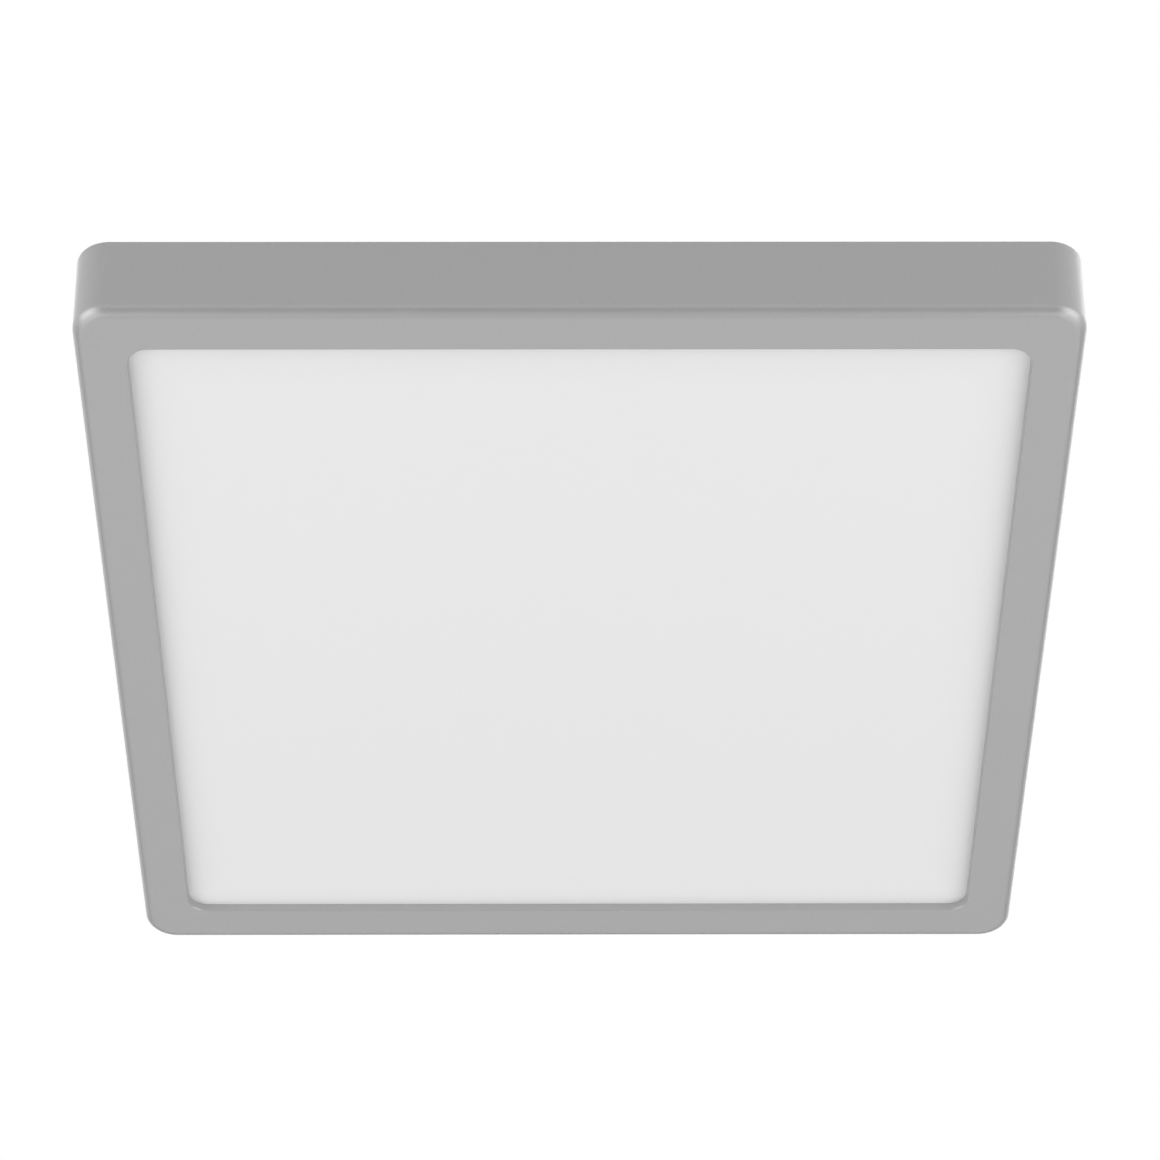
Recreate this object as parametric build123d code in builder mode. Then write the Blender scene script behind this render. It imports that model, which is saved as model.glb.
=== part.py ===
"""Square surface-mounted LED ceiling light, in millimetres.

The origin is on the ceiling plane at the middle of the light and +Z points up into the
ceiling, so the light hangs below Z = 0 and its diffuser looks down along -Z. The steel
bracket is screwed to the ceiling and the light snaps onto its four spring clips.
"""

import os
from math import cos, radians, sin, tan

from build123d import *

# Casing frame
side = 285.0  # width and length at the ceiling
height = 28.0  # ceiling to rim face
corner_radius = 10.0
edge_radius = 3.2  # between side wall and rim face
draft_angle = 1.8  # the side wall narrows towards the room
wall = 2.0
ceiling_edge = 0.4
rim_width = 15.6  # outer side at the ceiling to the light opening
rim_thickness = 2.0
opening_radius = 6.0
opening_edge = 0.5
recess = 2.9  # diffuser face behind the rim face
lip_wall = 1.8
moulded_root = 0.3  # bite of ribs and bosses into the wall they stand on
boss_diameter = 6.0
boss_inset = 3.6  # boss axis from the inner wall at the rim
boss_offset = 70.0  # boss axis from the middle of its side
rib_thickness = 1.6
rib_offset = 35.0
outer_rib_offset = 105.0
rib_bite = 0.8  # height by which the ribs hold the diffuser edge
wall_rib_depth = 2.0
wall_rib_thickness = 1.4
wall_rib_offset = 46.0
outer_wall_rib_offset = 96.0
wall_rib_top = 1.5  # below the ceiling
catch_depth = 2.2
catch_width = 30.0
catch_drop = 5.3  # ceiling to the lower edge of the catch tip
catch_land = 0.6

# Clearances
seat_gap = 0.2  # around a piece that drops into a seat
hole_gap = 0.1  # around a wire, screw or rivet, on the radius
clip_gap = 0.3  # between a spring clip and its catch
edge_gap = 0.8  # between the plate tabs and the casing wall

# Diffuser, light guide and reflector
optics_overlap = 2.5  # reach behind the rim
diffuser_thickness = 2.0
diffuser_chamfer = 0.3
guide_thickness = 3.0
guide_corner = 1.5
reflector_thickness = 0.4

# LED strips
led_length = 4.0
led_width = 1.4
led_height = 0.8
led_pitch = 7.8
led_gap = 0.2  # LED face to light guide edge
strip_thickness = 1.0
strip_width = 3.0
strip_from_corner = 7.0  # strip end to the corner of the light guide
strip_end = 8.0  # bare strip beyond the LEDs
link_thickness = 0.2
link_width = 2.2
link_lap = 4.0
link_bend = 1.0
solder_tab_width = 12.0
solder_tab_offset = 35.0
solder_tab_rise = 7.0  # above the back plate

# Back plate
plate_thickness = 0.8
plate_corner = 10.0
flange_depth = 5.0  # plate top to flange edge
flange_end = 18.0  # flange end from the plate corner
bend_radius = 0.4  # inside
tab_width = 12.0
tab_relief = 1.5
pad_diameter = 14.0
pad_rise = 2.4
pad_taper = 12.0
bead_length = 70.0
bead_width = 10.0
bead_rise = 1.2
bead_taper = 20.0
bead_x = 80.0
bead_y = 84.0
bead_spacing = 28.0
back_bead_x = 60.0
back_bead_inset = 16.0  # from the plate flange

# Screws
thread_diameter = 2.8
head_diameter = 5.6
head_height = 1.9
head_chamfer = 0.6
cross_share = 0.62  # recess length to head diameter
cross_width = 1.0
cross_depth = 1.1
boss_screw_length = 6.6
pad_screw_tip = 1.4  # thread beyond the pad sheet

# Ceiling bracket
sheet = 1.2
arm_width = 48.0
arm_flange = 4.0  # ceiling to flange edge
arm_bend = 1.6  # middle of the sheet
arm_pad_length = 22.0
arm_pad_width = 34.0
hub_fillet = 14.0
slot_place = 62.0
slot_length = 20.0
slot_width = 5.0
joggle = 1.6  # drop of the arm ends, keeps the rivet heads off the ceiling
joggle_run = 3.0
dish_radius = 20.0
dish_depth = 2.6
dish_run = 3.5
dish_lap = 0.5
cable_hole = 16.0

# Cable grommet
cable_bore = 9.0
grommet_flange = 21.0
grommet_lip = 1.4
grommet_nose = 3.0
grommet_nose_diameter = 13.0

# Spring clips and rivets
clip_thickness = 0.5
clip_width = 16.0
clip_angle = 30.0  # holding slope, from the ceiling plane
clip_bite = 1.6  # nose corner beyond the catch tip
clip_root = 16.0
clip_overhang = 1.5  # fold beyond the arm end
clip_fold = 1.0
clip_tail_drop = 6.5
clip_tail_run = 5.5
rivet_diameter = 2.4
rivet_head = 4.4
rivet_head_height = 0.8
rivet_taper = 20.0
rivet_spacing = 9.0
rivet_from_end = 5.0

# Driver
driver_length = 116.0
driver_width = 42.0
driver_height = 13.0
driver_place = 72.0  # middle, from the middle of the light
driver_tray = 8.5
driver_wall = 1.3
driver_corner = 3.0
driver_ear_width = 13.0
driver_ear_thickness = 2.0
driver_ear_place = 46.0
ear_to_case = 8.2  # screw axis from the case wall
cover_edge = 1.0
cover_lip = 1.8
cover_lip_wall = 1.0
vent_length = 13.0
vent_width = 1.6
vent_pitch = 4.0
vent_place = 32.0
vent_count = 6
post_diameter = 5.0
post_inset = 6.0
board_thickness = 1.0
board_gap = 1.2
transformer_place = 14.0
transformer_length = 20.0
transformer_width = 17.0
transformer_height = 7.6
transformer_core = 1.8
winding_length = 12.4
winding_out = 2.4
winding_round = 1.5
capacitor_place = 22.0
capacitor_spread = 7.5
capacitor_diameter = 7.0
capacitor_length = 15.0
capacitor_chamfer = 0.5
filter_place = 40.0
filter_shift = 9.0
filter_length = 13.0
filter_width = 6.0
filter_height = 7.0
filter_round = 0.8

# Terminal block
block_length = 36.0
block_width = 24.0
block_height = 12.5
block_base = 1.2
block_corner = 1.5
block_chamfer = 0.8
block_place = 72.0  # middle, from the middle of the light
block_to_lane = 18.0  # output face to the neutral wire's lane
block_ear_width = 13.0
block_ear_thickness = 2.0
pole_pitch = 10.0
entry_width = 3.4
chamber_length = 14.0
chamber_width = 6.4
chamber_height = 6.4
contact_wall = 1.0
button_width = 5.0
button_corner = 0.8
button_chamfer = 0.5
button_depth = 2.8  # in the block at rest
button_rise = 2.0
button_travel = 1.5
button_end_gap = 0.3
button_slot_length = 3.4
button_slot_width = 0.9
button_slot_depth = 0.6

# Wires
wire_diameter = 2.2
output_diameter = 1.8
wire_bend = 8.0
wire_grip = 3.5  # length of wire inside a connector
live_lane = 10.8  # from the plate flange
lane_spacing = 8.0
input_spacing = 8.0
output_spacing = 6.0
output_lane = 36.0  # from the driver end
saddle_length = 20.0
saddle_width = 8.0
saddle_cover = 1.4
saddle_chamfer = 1.2
saddle_place = 34.0
output_saddle_place = 52.0

# Earth tag and plug
barrel_diameter = 3.6
barrel_length = 7.0
tag_thickness = 0.8
tag_diameter = 9.0
tag_neck_width = 3.2
tag_neck = 2.0
earth_thread = 4.0
earth_head = 7.4
earth_head_height = 2.6
earth_lane_gap = 10.0  # block output face to the earth wire's run
earth_place = 36.0
plug_width = 15.6
plug_reach = 8.0
plug_back = 1.4
plug_height = 7.0
plug_pitch = 4.0
plug_chamfer = 0.8

side_angles = {"right": 0, "back": 90, "left": 180, "front": 270}

# Levels below the ceiling
rim_z = -height
rim_inside_z = rim_z + rim_thickness
diffuser_z = rim_z + recess
guide_z = diffuser_z + diffuser_thickness
led_z = guide_z + guide_thickness / 2
reflector_z = guide_z + guide_thickness
plate_under_z = reflector_z + reflector_thickness
plate_z = plate_under_z + plate_thickness
pad_z = plate_z + pad_rise
wire_z = pad_z + barrel_diameter / 2
board_top = wire_z - wire_diameter / 2 - hole_gap
board_z = board_top - board_thickness
capacitor_z = board_top + capacitor_diameter / 2 + hole_gap
block_z = plate_z + block_base
grommet_top_z = -dish_depth + grommet_lip
grommet_end_z = -dish_depth - sheet - grommet_lip - grommet_nose

# Half widths, from the middle of the light outwards
draft_slope = tan(radians(draft_angle))
opening = side - 2 * rim_width
optics = opening + 2 * optics_overlap
optics_half = optics / 2
strip_half = optics_half + led_gap + led_height
link_half = strip_half - link_thickness / 2
flange_half = strip_half + strip_thickness
plate_half = flange_half + plate_thickness
inner_half = side / 2 - wall
rim_inner_half = inner_half - height * draft_slope
boss_half = rim_inner_half - boss_inset
tab_half = inner_half + plate_under_z * draft_slope - edge_gap
catch_half = inner_half - catch_depth
strip_length = optics - 2 * strip_from_corner
led_count = int((strip_length - 2 * strip_end) / led_pitch)

# Flange runs along one side of the back plate, between the screw tabs
flange_stop = flange_half - flange_end
tab_clear = tab_width / 2 + tab_relief
notch_width = solder_tab_width + 2 * tab_relief
outer_runs = [(-flange_stop, -boss_offset - tab_clear), (boss_offset + tab_clear, flange_stop)]
plain_runs = outer_runs + [(-boss_offset + tab_clear, boss_offset - tab_clear)]
notched_runs = outer_runs + [
    (-boss_offset + tab_clear, solder_tab_offset - notch_width / 2),
    (solder_tab_offset + notch_width / 2, boss_offset - tab_clear),
]
flange_runs = [
    (angle, start, end)
    for name, angle in side_angles.items()
    for start, end in (notched_runs if name == "right" else plain_runs)
]

# Spring clip line: its holding slope runs parallel to the lower face of the catch
clip_slope = tan(radians(clip_angle))
clip_offset = clip_gap + clip_thickness / 2
hold_half = catch_half - clip_offset * sin(radians(clip_angle))
hold_z = -catch_drop - clip_offset * cos(radians(clip_angle))
clip_z = -joggle - sheet - clip_thickness / 2
clip_bend = hold_half - (clip_z - hold_z) / clip_slope
clip_nose = catch_half + clip_bite
clip_nose_z = hold_z - (clip_nose - hold_half) * clip_slope

# Bracket arm, from its pad inwards
arm_end = clip_bend - clip_overhang
joggle_start = arm_end - arm_pad_length - joggle_run
arm_web = arm_width - 2 * arm_bend - sheet
arm_flange_start = arm_web / 2 + hub_fillet + sheet
arm_flange_end = joggle_start - joggle_run

# Places in the plan
live_x = live_lane - plate_half
neutral_x = live_x + lane_spacing
block_face_x = neutral_x + block_to_lane
block_x = block_face_x + block_width / 2
block_y = -block_place
block_wire_end = block_face_x + (block_width - chamber_length) / 2 + wire_grip
live_pole = block_y - pole_pitch
neutral_pole = block_y
earth_pole = block_y + pole_pitch
contact_window = chamber_width - 2 * seat_gap - 2 * contact_wall
earth_x = block_face_x - earth_lane_gap
earth_y = -earth_place
barrel_end_y = earth_y - tag_diameter / 2 - tag_neck - barrel_length
driver_room_length = driver_length - 2 * driver_wall
driver_room_width = driver_width - 2 * driver_wall
post_spacing_x = driver_room_length - 2 * post_inset
post_spacing_y = driver_room_width - 2 * post_inset
driver_wire_end = driver_room_length / 2 - board_gap - wire_grip
live_y = driver_place + input_spacing / 2
neutral_y = driver_place - input_spacing / 2
output_positive_y = driver_place
output_negative_y = driver_place - output_spacing
output_lane_x = driver_length / 2 + output_lane
plug_positive_y = solder_tab_offset + plug_pitch / 2
plug_negative_y = solder_tab_offset - plug_pitch / 2
driver_ear_y = driver_width / 2 + ear_to_case
driver_ears = [
    (-driver_ear_place, driver_place - driver_ear_y),
    (driver_ear_place, driver_place + driver_ear_y),
]
block_ear_y = block_length / 2 + ear_to_case
block_ears = [(block_x, block_y - block_ear_y), (block_x, block_y + block_ear_y)]
earth_spot = (earth_x, earth_y)
screw_pads = driver_ears + block_ears
pad_places = screw_pads + [earth_spot]
bead_places = [
    (bead_x, -bead_y - bead_spacing / 2),
    (bead_x, -bead_y + bead_spacing / 2),
    (-back_bead_x, flange_half - back_bead_inset),
    (back_bead_x, flange_half - back_bead_inset),
]


def facing(angle, distance, level):
    """Plane on one side of the light, facing outwards, with its Y up."""
    a = radians(angle)
    return Plane(
        origin=(distance * cos(a), distance * sin(a), level),
        x_dir=(-sin(a), cos(a), 0),
        z_dir=(cos(a), sin(a), 0),
    )


def across(angle, along=0):
    """Upright plane square to one side, X outwards, placed along that side."""
    a = radians(angle)
    return Plane(
        origin=(-along * sin(a), along * cos(a), 0),
        x_dir=(cos(a), sin(a), 0),
        z_dir=(sin(a), -cos(a), 0),
    )


def spot(angle, out, along):
    """Point of the plan, given outwards from the middle and along one side."""
    a = radians(angle)
    return (out * cos(a) - along * sin(a), out * sin(a) + along * cos(a))


def bar(angle, inner, outer, along, width, mode=Mode.ADD):
    """Rectangle of the plan that runs outwards on one side of the light."""
    x, y = spot(angle, (inner + outer) / 2, along)
    with Locations(Location((x, y, 0), (0, 0, angle))):
        Rectangle(outer - inner, width, mode=mode)


def screw(places, seat, length, thread, head, head_rise):
    """Pan-head screws with a cross recess, seated at one level."""
    with BuildPart() as screws:
        with BuildSketch(Plane.XY.offset(seat)):
            with Locations(*places):
                Circle(head / 2)
        extrude(amount=head_rise)
        chamfer(screws.faces().filter_by(Axis.Z).group_by(Axis.Z)[-1].edges(), head_chamfer)
        with BuildSketch(Plane.XY.offset(seat)):
            with Locations(*places):
                Circle(thread / 2)
        extrude(amount=-length)
        with BuildSketch(Plane.XY.offset(seat + head_rise)):
            with Locations(*places):
                Rectangle(head * cross_share, cross_width)
                Rectangle(cross_width, head * cross_share)
        extrude(amount=-cross_depth, mode=Mode.SUBTRACT)
    return screws.part


def wire(points, diameter):
    """Insulated wire along a flat route with rounded turns."""
    with BuildPart() as route:
        with BuildLine(Plane.XY.offset(wire_z)) as path:
            FilletPolyline(*points, radius=wire_bend)
        with BuildSketch(Plane(origin=path.line @ 0, z_dir=path.line % 0)):
            Circle(diameter / 2)
        sweep()
    return route.part


def save(part, name):
    part.label = name
    export_step(part, f"parts/{name}.step")


boss_places = [
    spot(angle, boss_half, along)
    for angle in side_angles.values()
    for along in (-boss_offset, boss_offset)
]
rivet_places = [
    spot(angle, arm_end - rivet_from_end, along)
    for angle in side_angles.values()
    for along in (-rivet_spacing / 2, rivet_spacing / 2)
]

os.makedirs("parts", exist_ok=True)

# Casing frame: drafted square shell with a rim, an inner lip, bosses, ribs and catches
with BuildPart() as casing_space:
    with BuildSketch():
        Rectangle(2 * inner_half, 2 * inner_half)
    extrude(amount=rim_inside_z, taper=draft_angle)
    upright = casing_space.edges().filter_by(lambda edge: abs(edge.tangent_at(0).Z) > 0.5)
    fillet(upright, corner_radius - wall)
    fillet(casing_space.faces().sort_by(Axis.Z)[0].edges(), edge_radius - rim_thickness)

with BuildPart() as frame:
    with BuildSketch():
        Rectangle(side, side)
    extrude(amount=rim_z, taper=draft_angle)
    upright = frame.edges().filter_by(lambda edge: abs(edge.tangent_at(0).Z) > 0.5)
    fillet(upright, corner_radius)
    fillet(frame.faces().sort_by(Axis.Z)[0].edges(), edge_radius)
    fillet(frame.faces().sort_by(Axis.Z)[-1].edges(), ceiling_edge)
    add(casing_space.part, mode=Mode.SUBTRACT)
    with BuildSketch(Plane.XY.offset(rim_inside_z - moulded_root)):
        RectangleRounded(opening + 2 * lip_wall, opening + 2 * lip_wall, opening_radius + lip_wall)
    extrude(amount=diffuser_z - rim_inside_z + moulded_root)
    with BuildSketch(Plane.XY.offset(rim_z)):
        RectangleRounded(opening, opening, opening_radius)
    extrude(amount=recess, mode=Mode.SUBTRACT)
    fillet(frame.faces().sort_by(Axis.Z)[0].inner_wires()[0].edges(), opening_edge)
    # screw bosses, each webbed to the wall
    with BuildSketch(Plane.XY.offset(rim_inside_z - moulded_root)):
        with Locations(*boss_places):
            Circle(boss_diameter / 2)
        for angle in side_angles.values():
            for along in (-boss_offset, boss_offset):
                bar(angle, boss_half, rim_inner_half + moulded_root, along, rib_thickness)
    extrude(amount=plate_under_z - rim_inside_z + moulded_root)
    with BuildSketch(Plane.XY.offset(plate_under_z)):
        with Locations(*boss_places):
            Circle(thread_diameter / 2 + hole_gap)
    extrude(amount=plate_thickness - boss_screw_length - seat_gap, mode=Mode.SUBTRACT)
    # ribs on the rim that centre the diffuser
    with BuildSketch(Plane.XY.offset(rim_inside_z - moulded_root)):
        for angle in side_angles.values():
            for along in (-outer_rib_offset, -rib_offset, rib_offset, outer_rib_offset):
                bar(angle, optics_half + seat_gap, rim_inner_half + moulded_root, along, rib_thickness)
    extrude(amount=diffuser_z + rib_bite - rim_inside_z + moulded_root)
    # upright ribs on the wall
    for angle in side_angles.values():
        for along in (-outer_wall_rib_offset, -wall_rib_offset, wall_rib_offset, outer_wall_rib_offset):
            with BuildSketch(across(angle, along)):
                Polygon(
                    (rim_inner_half + moulded_root, rim_inside_z - moulded_root),
                    (rim_inner_half - wall_rib_depth, rim_inside_z - moulded_root),
                    (inner_half - wall_rib_depth, -wall_rib_top - wall_rib_depth),
                    (inner_half, -wall_rib_top),
                    (inner_half + moulded_root, -wall_rib_top),
                    align=None,
                )
            extrude(amount=wall_rib_thickness / 2, both=True)
    # catches for the spring clips
    for angle in side_angles.values():
        with BuildSketch(across(angle)):
            Polygon(
                (inner_half + moulded_root, -catch_drop + catch_land + catch_depth + moulded_root),
                (catch_half, -catch_drop + catch_land),
                (catch_half, -catch_drop),
                (inner_half + moulded_root, -catch_drop - (catch_depth + moulded_root) * clip_slope),
                align=None,
            )
        extrude(amount=catch_width / 2, both=True)
save(frame.part, "frame")

# Diffuser, light guide and reflector, stacked on the lip
with BuildPart() as diffuser:
    with BuildSketch(Plane.XY.offset(diffuser_z)):
        RectangleRounded(optics, optics, opening_radius)
    extrude(amount=diffuser_thickness)
    chamfer(diffuser.faces().sort_by(Axis.Z)[0].edges(), diffuser_chamfer)
save(diffuser.part, "diffuser")

with BuildPart() as light_guide:
    with BuildSketch(Plane.XY.offset(guide_z)):
        RectangleRounded(optics, optics, guide_corner)
    extrude(amount=guide_thickness)
save(light_guide.part, "light_guide")

with BuildPart() as reflector:
    with BuildSketch(Plane.XY.offset(reflector_z)):
        RectangleRounded(optics, optics, guide_corner)
    extrude(amount=reflector_thickness)
save(reflector.part, "reflector")

# Back plate: stamped sheet with bent flanges, screw tabs, raised pads and stiffening beads
with BuildPart() as back_plate:
    with BuildSketch(Plane.XY.offset(plate_under_z)) as plate_outline:
        Rectangle(2 * flange_half - 2 * bend_radius, 2 * flange_half - 2 * bend_radius)
        chamfer(plate_outline.vertices(), plate_corner)
        for angle in side_angles.values():
            for along in (-boss_offset, boss_offset):
                bar(angle, flange_half - 2 * flange_depth, tab_half, along, tab_width)
        for angle, start, end in flange_runs:
            bar(angle, flange_half - 2 * flange_depth, plate_half, (start + end) / 2, end - start)
        # notch for the solder tab of the right strip
        notch_half = strip_half - tab_relief / 2
        bar(0, notch_half, flange_half, solder_tab_offset, notch_width - tab_relief, Mode.SUBTRACT)
    extrude(amount=plate_thickness)
    with BuildSketch(Plane.XY.offset(plate_z - flange_depth)):
        for angle, start, end in flange_runs:
            bar(angle, flange_half, plate_half, (start + end) / 2, end - start)
    extrude(amount=flange_depth - plate_thickness)
    bends = back_plate.edges().filter_by_position(Axis.Z, plate_z, plate_z)
    bends = bends.filter_by(lambda e: abs(max(abs(e.center().X), abs(e.center().Y)) - plate_half) < 0.01)
    fillet(bends, bend_radius + plate_thickness)
    # raised pads, hollow below
    with BuildSketch(Plane.XY.offset(plate_z)):
        with Locations(*pad_places):
            Circle(pad_diameter / 2)
    extrude(amount=pad_rise, taper=pad_taper)
    with BuildSketch(Plane.XY.offset(plate_under_z)):
        with Locations(*pad_places):
            Circle(pad_diameter / 2 - plate_thickness)
    extrude(amount=pad_rise, taper=pad_taper, mode=Mode.SUBTRACT)
    # stiffening beads, hollow below
    with BuildSketch(Plane.XY.offset(plate_z)):
        with Locations(*bead_places):
            SlotOverall(bead_length, bead_width)
    extrude(amount=bead_rise, taper=bead_taper)
    with BuildSketch(Plane.XY.offset(plate_under_z)):
        with Locations(*bead_places):
            SlotOverall(bead_length - 2 * plate_thickness, bead_width - 2 * plate_thickness)
    extrude(amount=bead_rise, taper=bead_taper, mode=Mode.SUBTRACT)
    # screw holes
    with BuildSketch(Plane.XY.offset(pad_z)):
        with Locations(*boss_places, *screw_pads):
            Circle(thread_diameter / 2 + hole_gap)
        with Locations(earth_spot):
            Circle(earth_thread / 2 + hole_gap)
    extrude(amount=plate_under_z - pad_z, mode=Mode.SUBTRACT)
save(back_plate.part, "back_plate")
save(
    screw(boss_places, plate_z, boss_screw_length, thread_diameter, head_diameter, head_height),
    "back_plate_screws",
)

# LED strips on the flanges, facing the edges of the light guide
for name, angle in side_angles.items():
    with BuildPart() as led_strip:
        with BuildSketch(facing(angle, strip_half, led_z)):
            Rectangle(strip_length, strip_width)
            if name == "right":
                with Locations((solder_tab_offset, 0)):
                    Rectangle(
                        solder_tab_width,
                        plate_z + solder_tab_rise - led_z,
                        align=(Align.CENTER, Align.MIN),
                    )
        extrude(amount=strip_thickness)
    save(led_strip.part, f"led_strip_{name}")
    with BuildPart(facing(angle, strip_half, led_z)) as leds:
        with GridLocations(led_pitch, led_pitch, led_count, 1):
            Box(led_length, led_width, led_height, align=(Align.CENTER, Align.CENTER, Align.MAX))
    save(leds.part, f"leds_{name}")

# Flexible links that carry the current round three corners
with BuildPart() as strip_links:
    for angle in (0, 90, 180):
        with BuildSketch(Plane.XY.offset(led_z - link_width / 2)):
            with BuildLine():
                FilletPolyline(
                    spot(angle, link_half, strip_length / 2 - link_lap),
                    spot(angle, link_half, link_half),
                    spot(angle, strip_length / 2 - link_lap, link_half),
                    radius=link_bend,
                )
            trace(line_width=link_thickness)
        extrude(amount=link_width)
save(strip_links.part, "strip_links")

# Plug on the solder tab of the right strip
with BuildPart() as strip_plug:
    with BuildSketch(Plane.XY.offset(wire_z - plug_height / 2)):
        bar(0, strip_half - plug_reach, flange_half + plug_back, solder_tab_offset, plug_width)
    extrude(amount=plug_height)
    chamfer(strip_plug.edges().filter_by(Axis.Y).group_by(Axis.Z)[-1], plug_chamfer)
    with BuildSketch(Plane.XY.offset(wire_z - plug_height / 2)):
        bar(
            0,
            strip_half - hole_gap,
            flange_half + hole_gap,
            solder_tab_offset,
            solder_tab_width + 2 * seat_gap,
        )
    extrude(
        amount=plate_z + solder_tab_rise + seat_gap - wire_z + plug_height / 2,
        mode=Mode.SUBTRACT,
    )
    with BuildSketch(facing(0, strip_half - plug_reach, wire_z)):
        with Locations((plug_positive_y, 0), (plug_negative_y, 0)):
            Circle(output_diameter / 2 + hole_gap)
    extrude(amount=wire_grip + seat_gap, mode=Mode.SUBTRACT)
save(strip_plug.part, "strip_plug")

save(
    wire(
        [
            (driver_wire_end, output_positive_y),
            (output_lane_x, output_positive_y),
            (output_lane_x, plug_positive_y),
            (strip_half - plug_reach + wire_grip, plug_positive_y),
        ],
        output_diameter,
    ),
    "output_wire_positive",
)
save(
    wire(
        [
            (driver_wire_end, output_negative_y),
            (output_lane_x - lane_spacing, output_negative_y),
            (output_lane_x - lane_spacing, plug_negative_y),
            (strip_half - plug_reach + wire_grip, plug_negative_y),
        ],
        output_diameter,
    ),
    "output_wire_negative",
)

# Driver: tray with diagonal ears, vented cover, board and its large components
with BuildPart() as driver_case:
    with BuildSketch(Plane.XY.offset(plate_z)):
        with Locations((0, driver_place)):
            RectangleRounded(driver_length, driver_width, driver_corner)
    extrude(amount=driver_tray)
    with BuildSketch(Plane.XY.offset(plate_z + driver_wall)):
        with Locations((0, driver_place)):
            RectangleRounded(driver_room_length, driver_room_width, driver_corner - driver_wall)
    extrude(amount=driver_tray, mode=Mode.SUBTRACT)
    with BuildSketch(Plane.XY.offset(pad_z)):
        for x, turn in ((-driver_ear_place, -1), (driver_ear_place, 1)):
            with Locations((x, driver_place + turn * (driver_width / 2 + ear_to_case))):
                Circle(driver_ear_width / 2)
            ear_middle = driver_width / 2 + (ear_to_case - driver_wall) / 2
            with Locations((x, driver_place + turn * ear_middle)):
                Rectangle(driver_ear_width, ear_to_case + driver_wall)
        with Locations(*driver_ears):
            Circle(thread_diameter / 2 + hole_gap, mode=Mode.SUBTRACT)
    extrude(amount=driver_ear_thickness)
    with BuildSketch(Plane.XY.offset(plate_z + driver_wall)):
        with Locations((0, driver_place)):
            with GridLocations(post_spacing_x, post_spacing_y, 2, 2):
                Circle(post_diameter / 2)
    extrude(amount=board_z - plate_z - driver_wall)
    with BuildSketch(facing(180, driver_length / 2, wire_z)):
        with Locations((-live_y, 0), (-neutral_y, 0)):
            Circle(wire_diameter / 2 + hole_gap)
    extrude(amount=-driver_wall, mode=Mode.SUBTRACT)
    with BuildSketch(facing(0, driver_length / 2, wire_z)):
        with Locations((output_positive_y, 0), (output_negative_y, 0)):
            Circle(output_diameter / 2 + hole_gap)
    extrude(amount=-driver_wall, mode=Mode.SUBTRACT)
save(driver_case.part, "driver_case")

with BuildPart() as driver_cover:
    with BuildSketch(Plane.XY.offset(plate_z + driver_tray)):
        with Locations((0, driver_place)):
            RectangleRounded(driver_length, driver_width, driver_corner)
    extrude(amount=driver_height - driver_tray)
    fillet(driver_cover.faces().sort_by(Axis.Z)[-1].edges(), cover_edge)
    with BuildSketch(Plane.XY.offset(plate_z + driver_tray)):
        with Locations((0, driver_place)):
            RectangleRounded(driver_room_length, driver_room_width, driver_corner - driver_wall)
    extrude(amount=driver_height - driver_tray - driver_wall, mode=Mode.SUBTRACT)
    with BuildSketch(Plane.XY.offset(plate_z + driver_tray - cover_lip)):
        with Locations((0, driver_place)):
            RectangleRounded(
                driver_room_length - 2 * seat_gap,
                driver_room_width - 2 * seat_gap,
                driver_corner - driver_wall,
            )
            RectangleRounded(
                driver_room_length - 2 * seat_gap - 2 * cover_lip_wall,
                driver_room_width - 2 * seat_gap - 2 * cover_lip_wall,
                driver_corner - driver_wall,
                mode=Mode.SUBTRACT,
            )
    extrude(amount=driver_height - driver_wall / 2 - driver_tray + cover_lip)
    with BuildSketch(Plane.XY.offset(plate_z + driver_height)):
        with Locations((-vent_place, driver_place), (vent_place, driver_place)):
            with GridLocations(vent_pitch, vent_length + vent_pitch, vent_count, 2):
                SlotOverall(vent_length, vent_width, rotation=90)
    extrude(amount=-driver_wall, mode=Mode.SUBTRACT)
save(driver_cover.part, "driver_cover")

with BuildPart() as driver_board:
    with BuildSketch(Plane.XY.offset(board_z)):
        with Locations((0, driver_place)):
            Rectangle(driver_room_length - 2 * board_gap, driver_room_width - 2 * board_gap)
    extrude(amount=board_thickness)
save(driver_board.part, "driver_board")

with BuildPart() as driver_transformer:
    with BuildSketch(Plane.XY.offset(board_top)):
        with Locations((transformer_place, driver_place)):
            Rectangle(transformer_length, transformer_width)
    extrude(amount=transformer_height)
    with BuildSketch(Plane.XY.offset(board_top + transformer_core)):
        with Locations((transformer_place, driver_place)):
            with GridLocations(transformer_length / 2, 1, 2, 1):
                Rectangle(transformer_length / 4, transformer_width)
    extrude(amount=transformer_height - 2 * transformer_core, mode=Mode.SUBTRACT)
    with BuildSketch(Plane.XY.offset(board_top + transformer_core)):
        with Locations((transformer_place, driver_place)):
            RectangleRounded(winding_length, transformer_width + winding_out, winding_round)
    extrude(amount=transformer_height - 2 * transformer_core)
save(driver_transformer.part, "driver_transformer")

with BuildPart() as driver_capacitors:
    with BuildSketch(facing(180, capacitor_place - capacitor_length / 2, capacitor_z)):
        with Locations((capacitor_spread - driver_place, 0), (-capacitor_spread - driver_place, 0)):
            Circle(capacitor_diameter / 2)
    extrude(amount=capacitor_length)
    chamfer(driver_capacitors.edges().filter_by(GeomType.CIRCLE), capacitor_chamfer)
save(driver_capacitors.part, "driver_capacitors")

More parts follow.
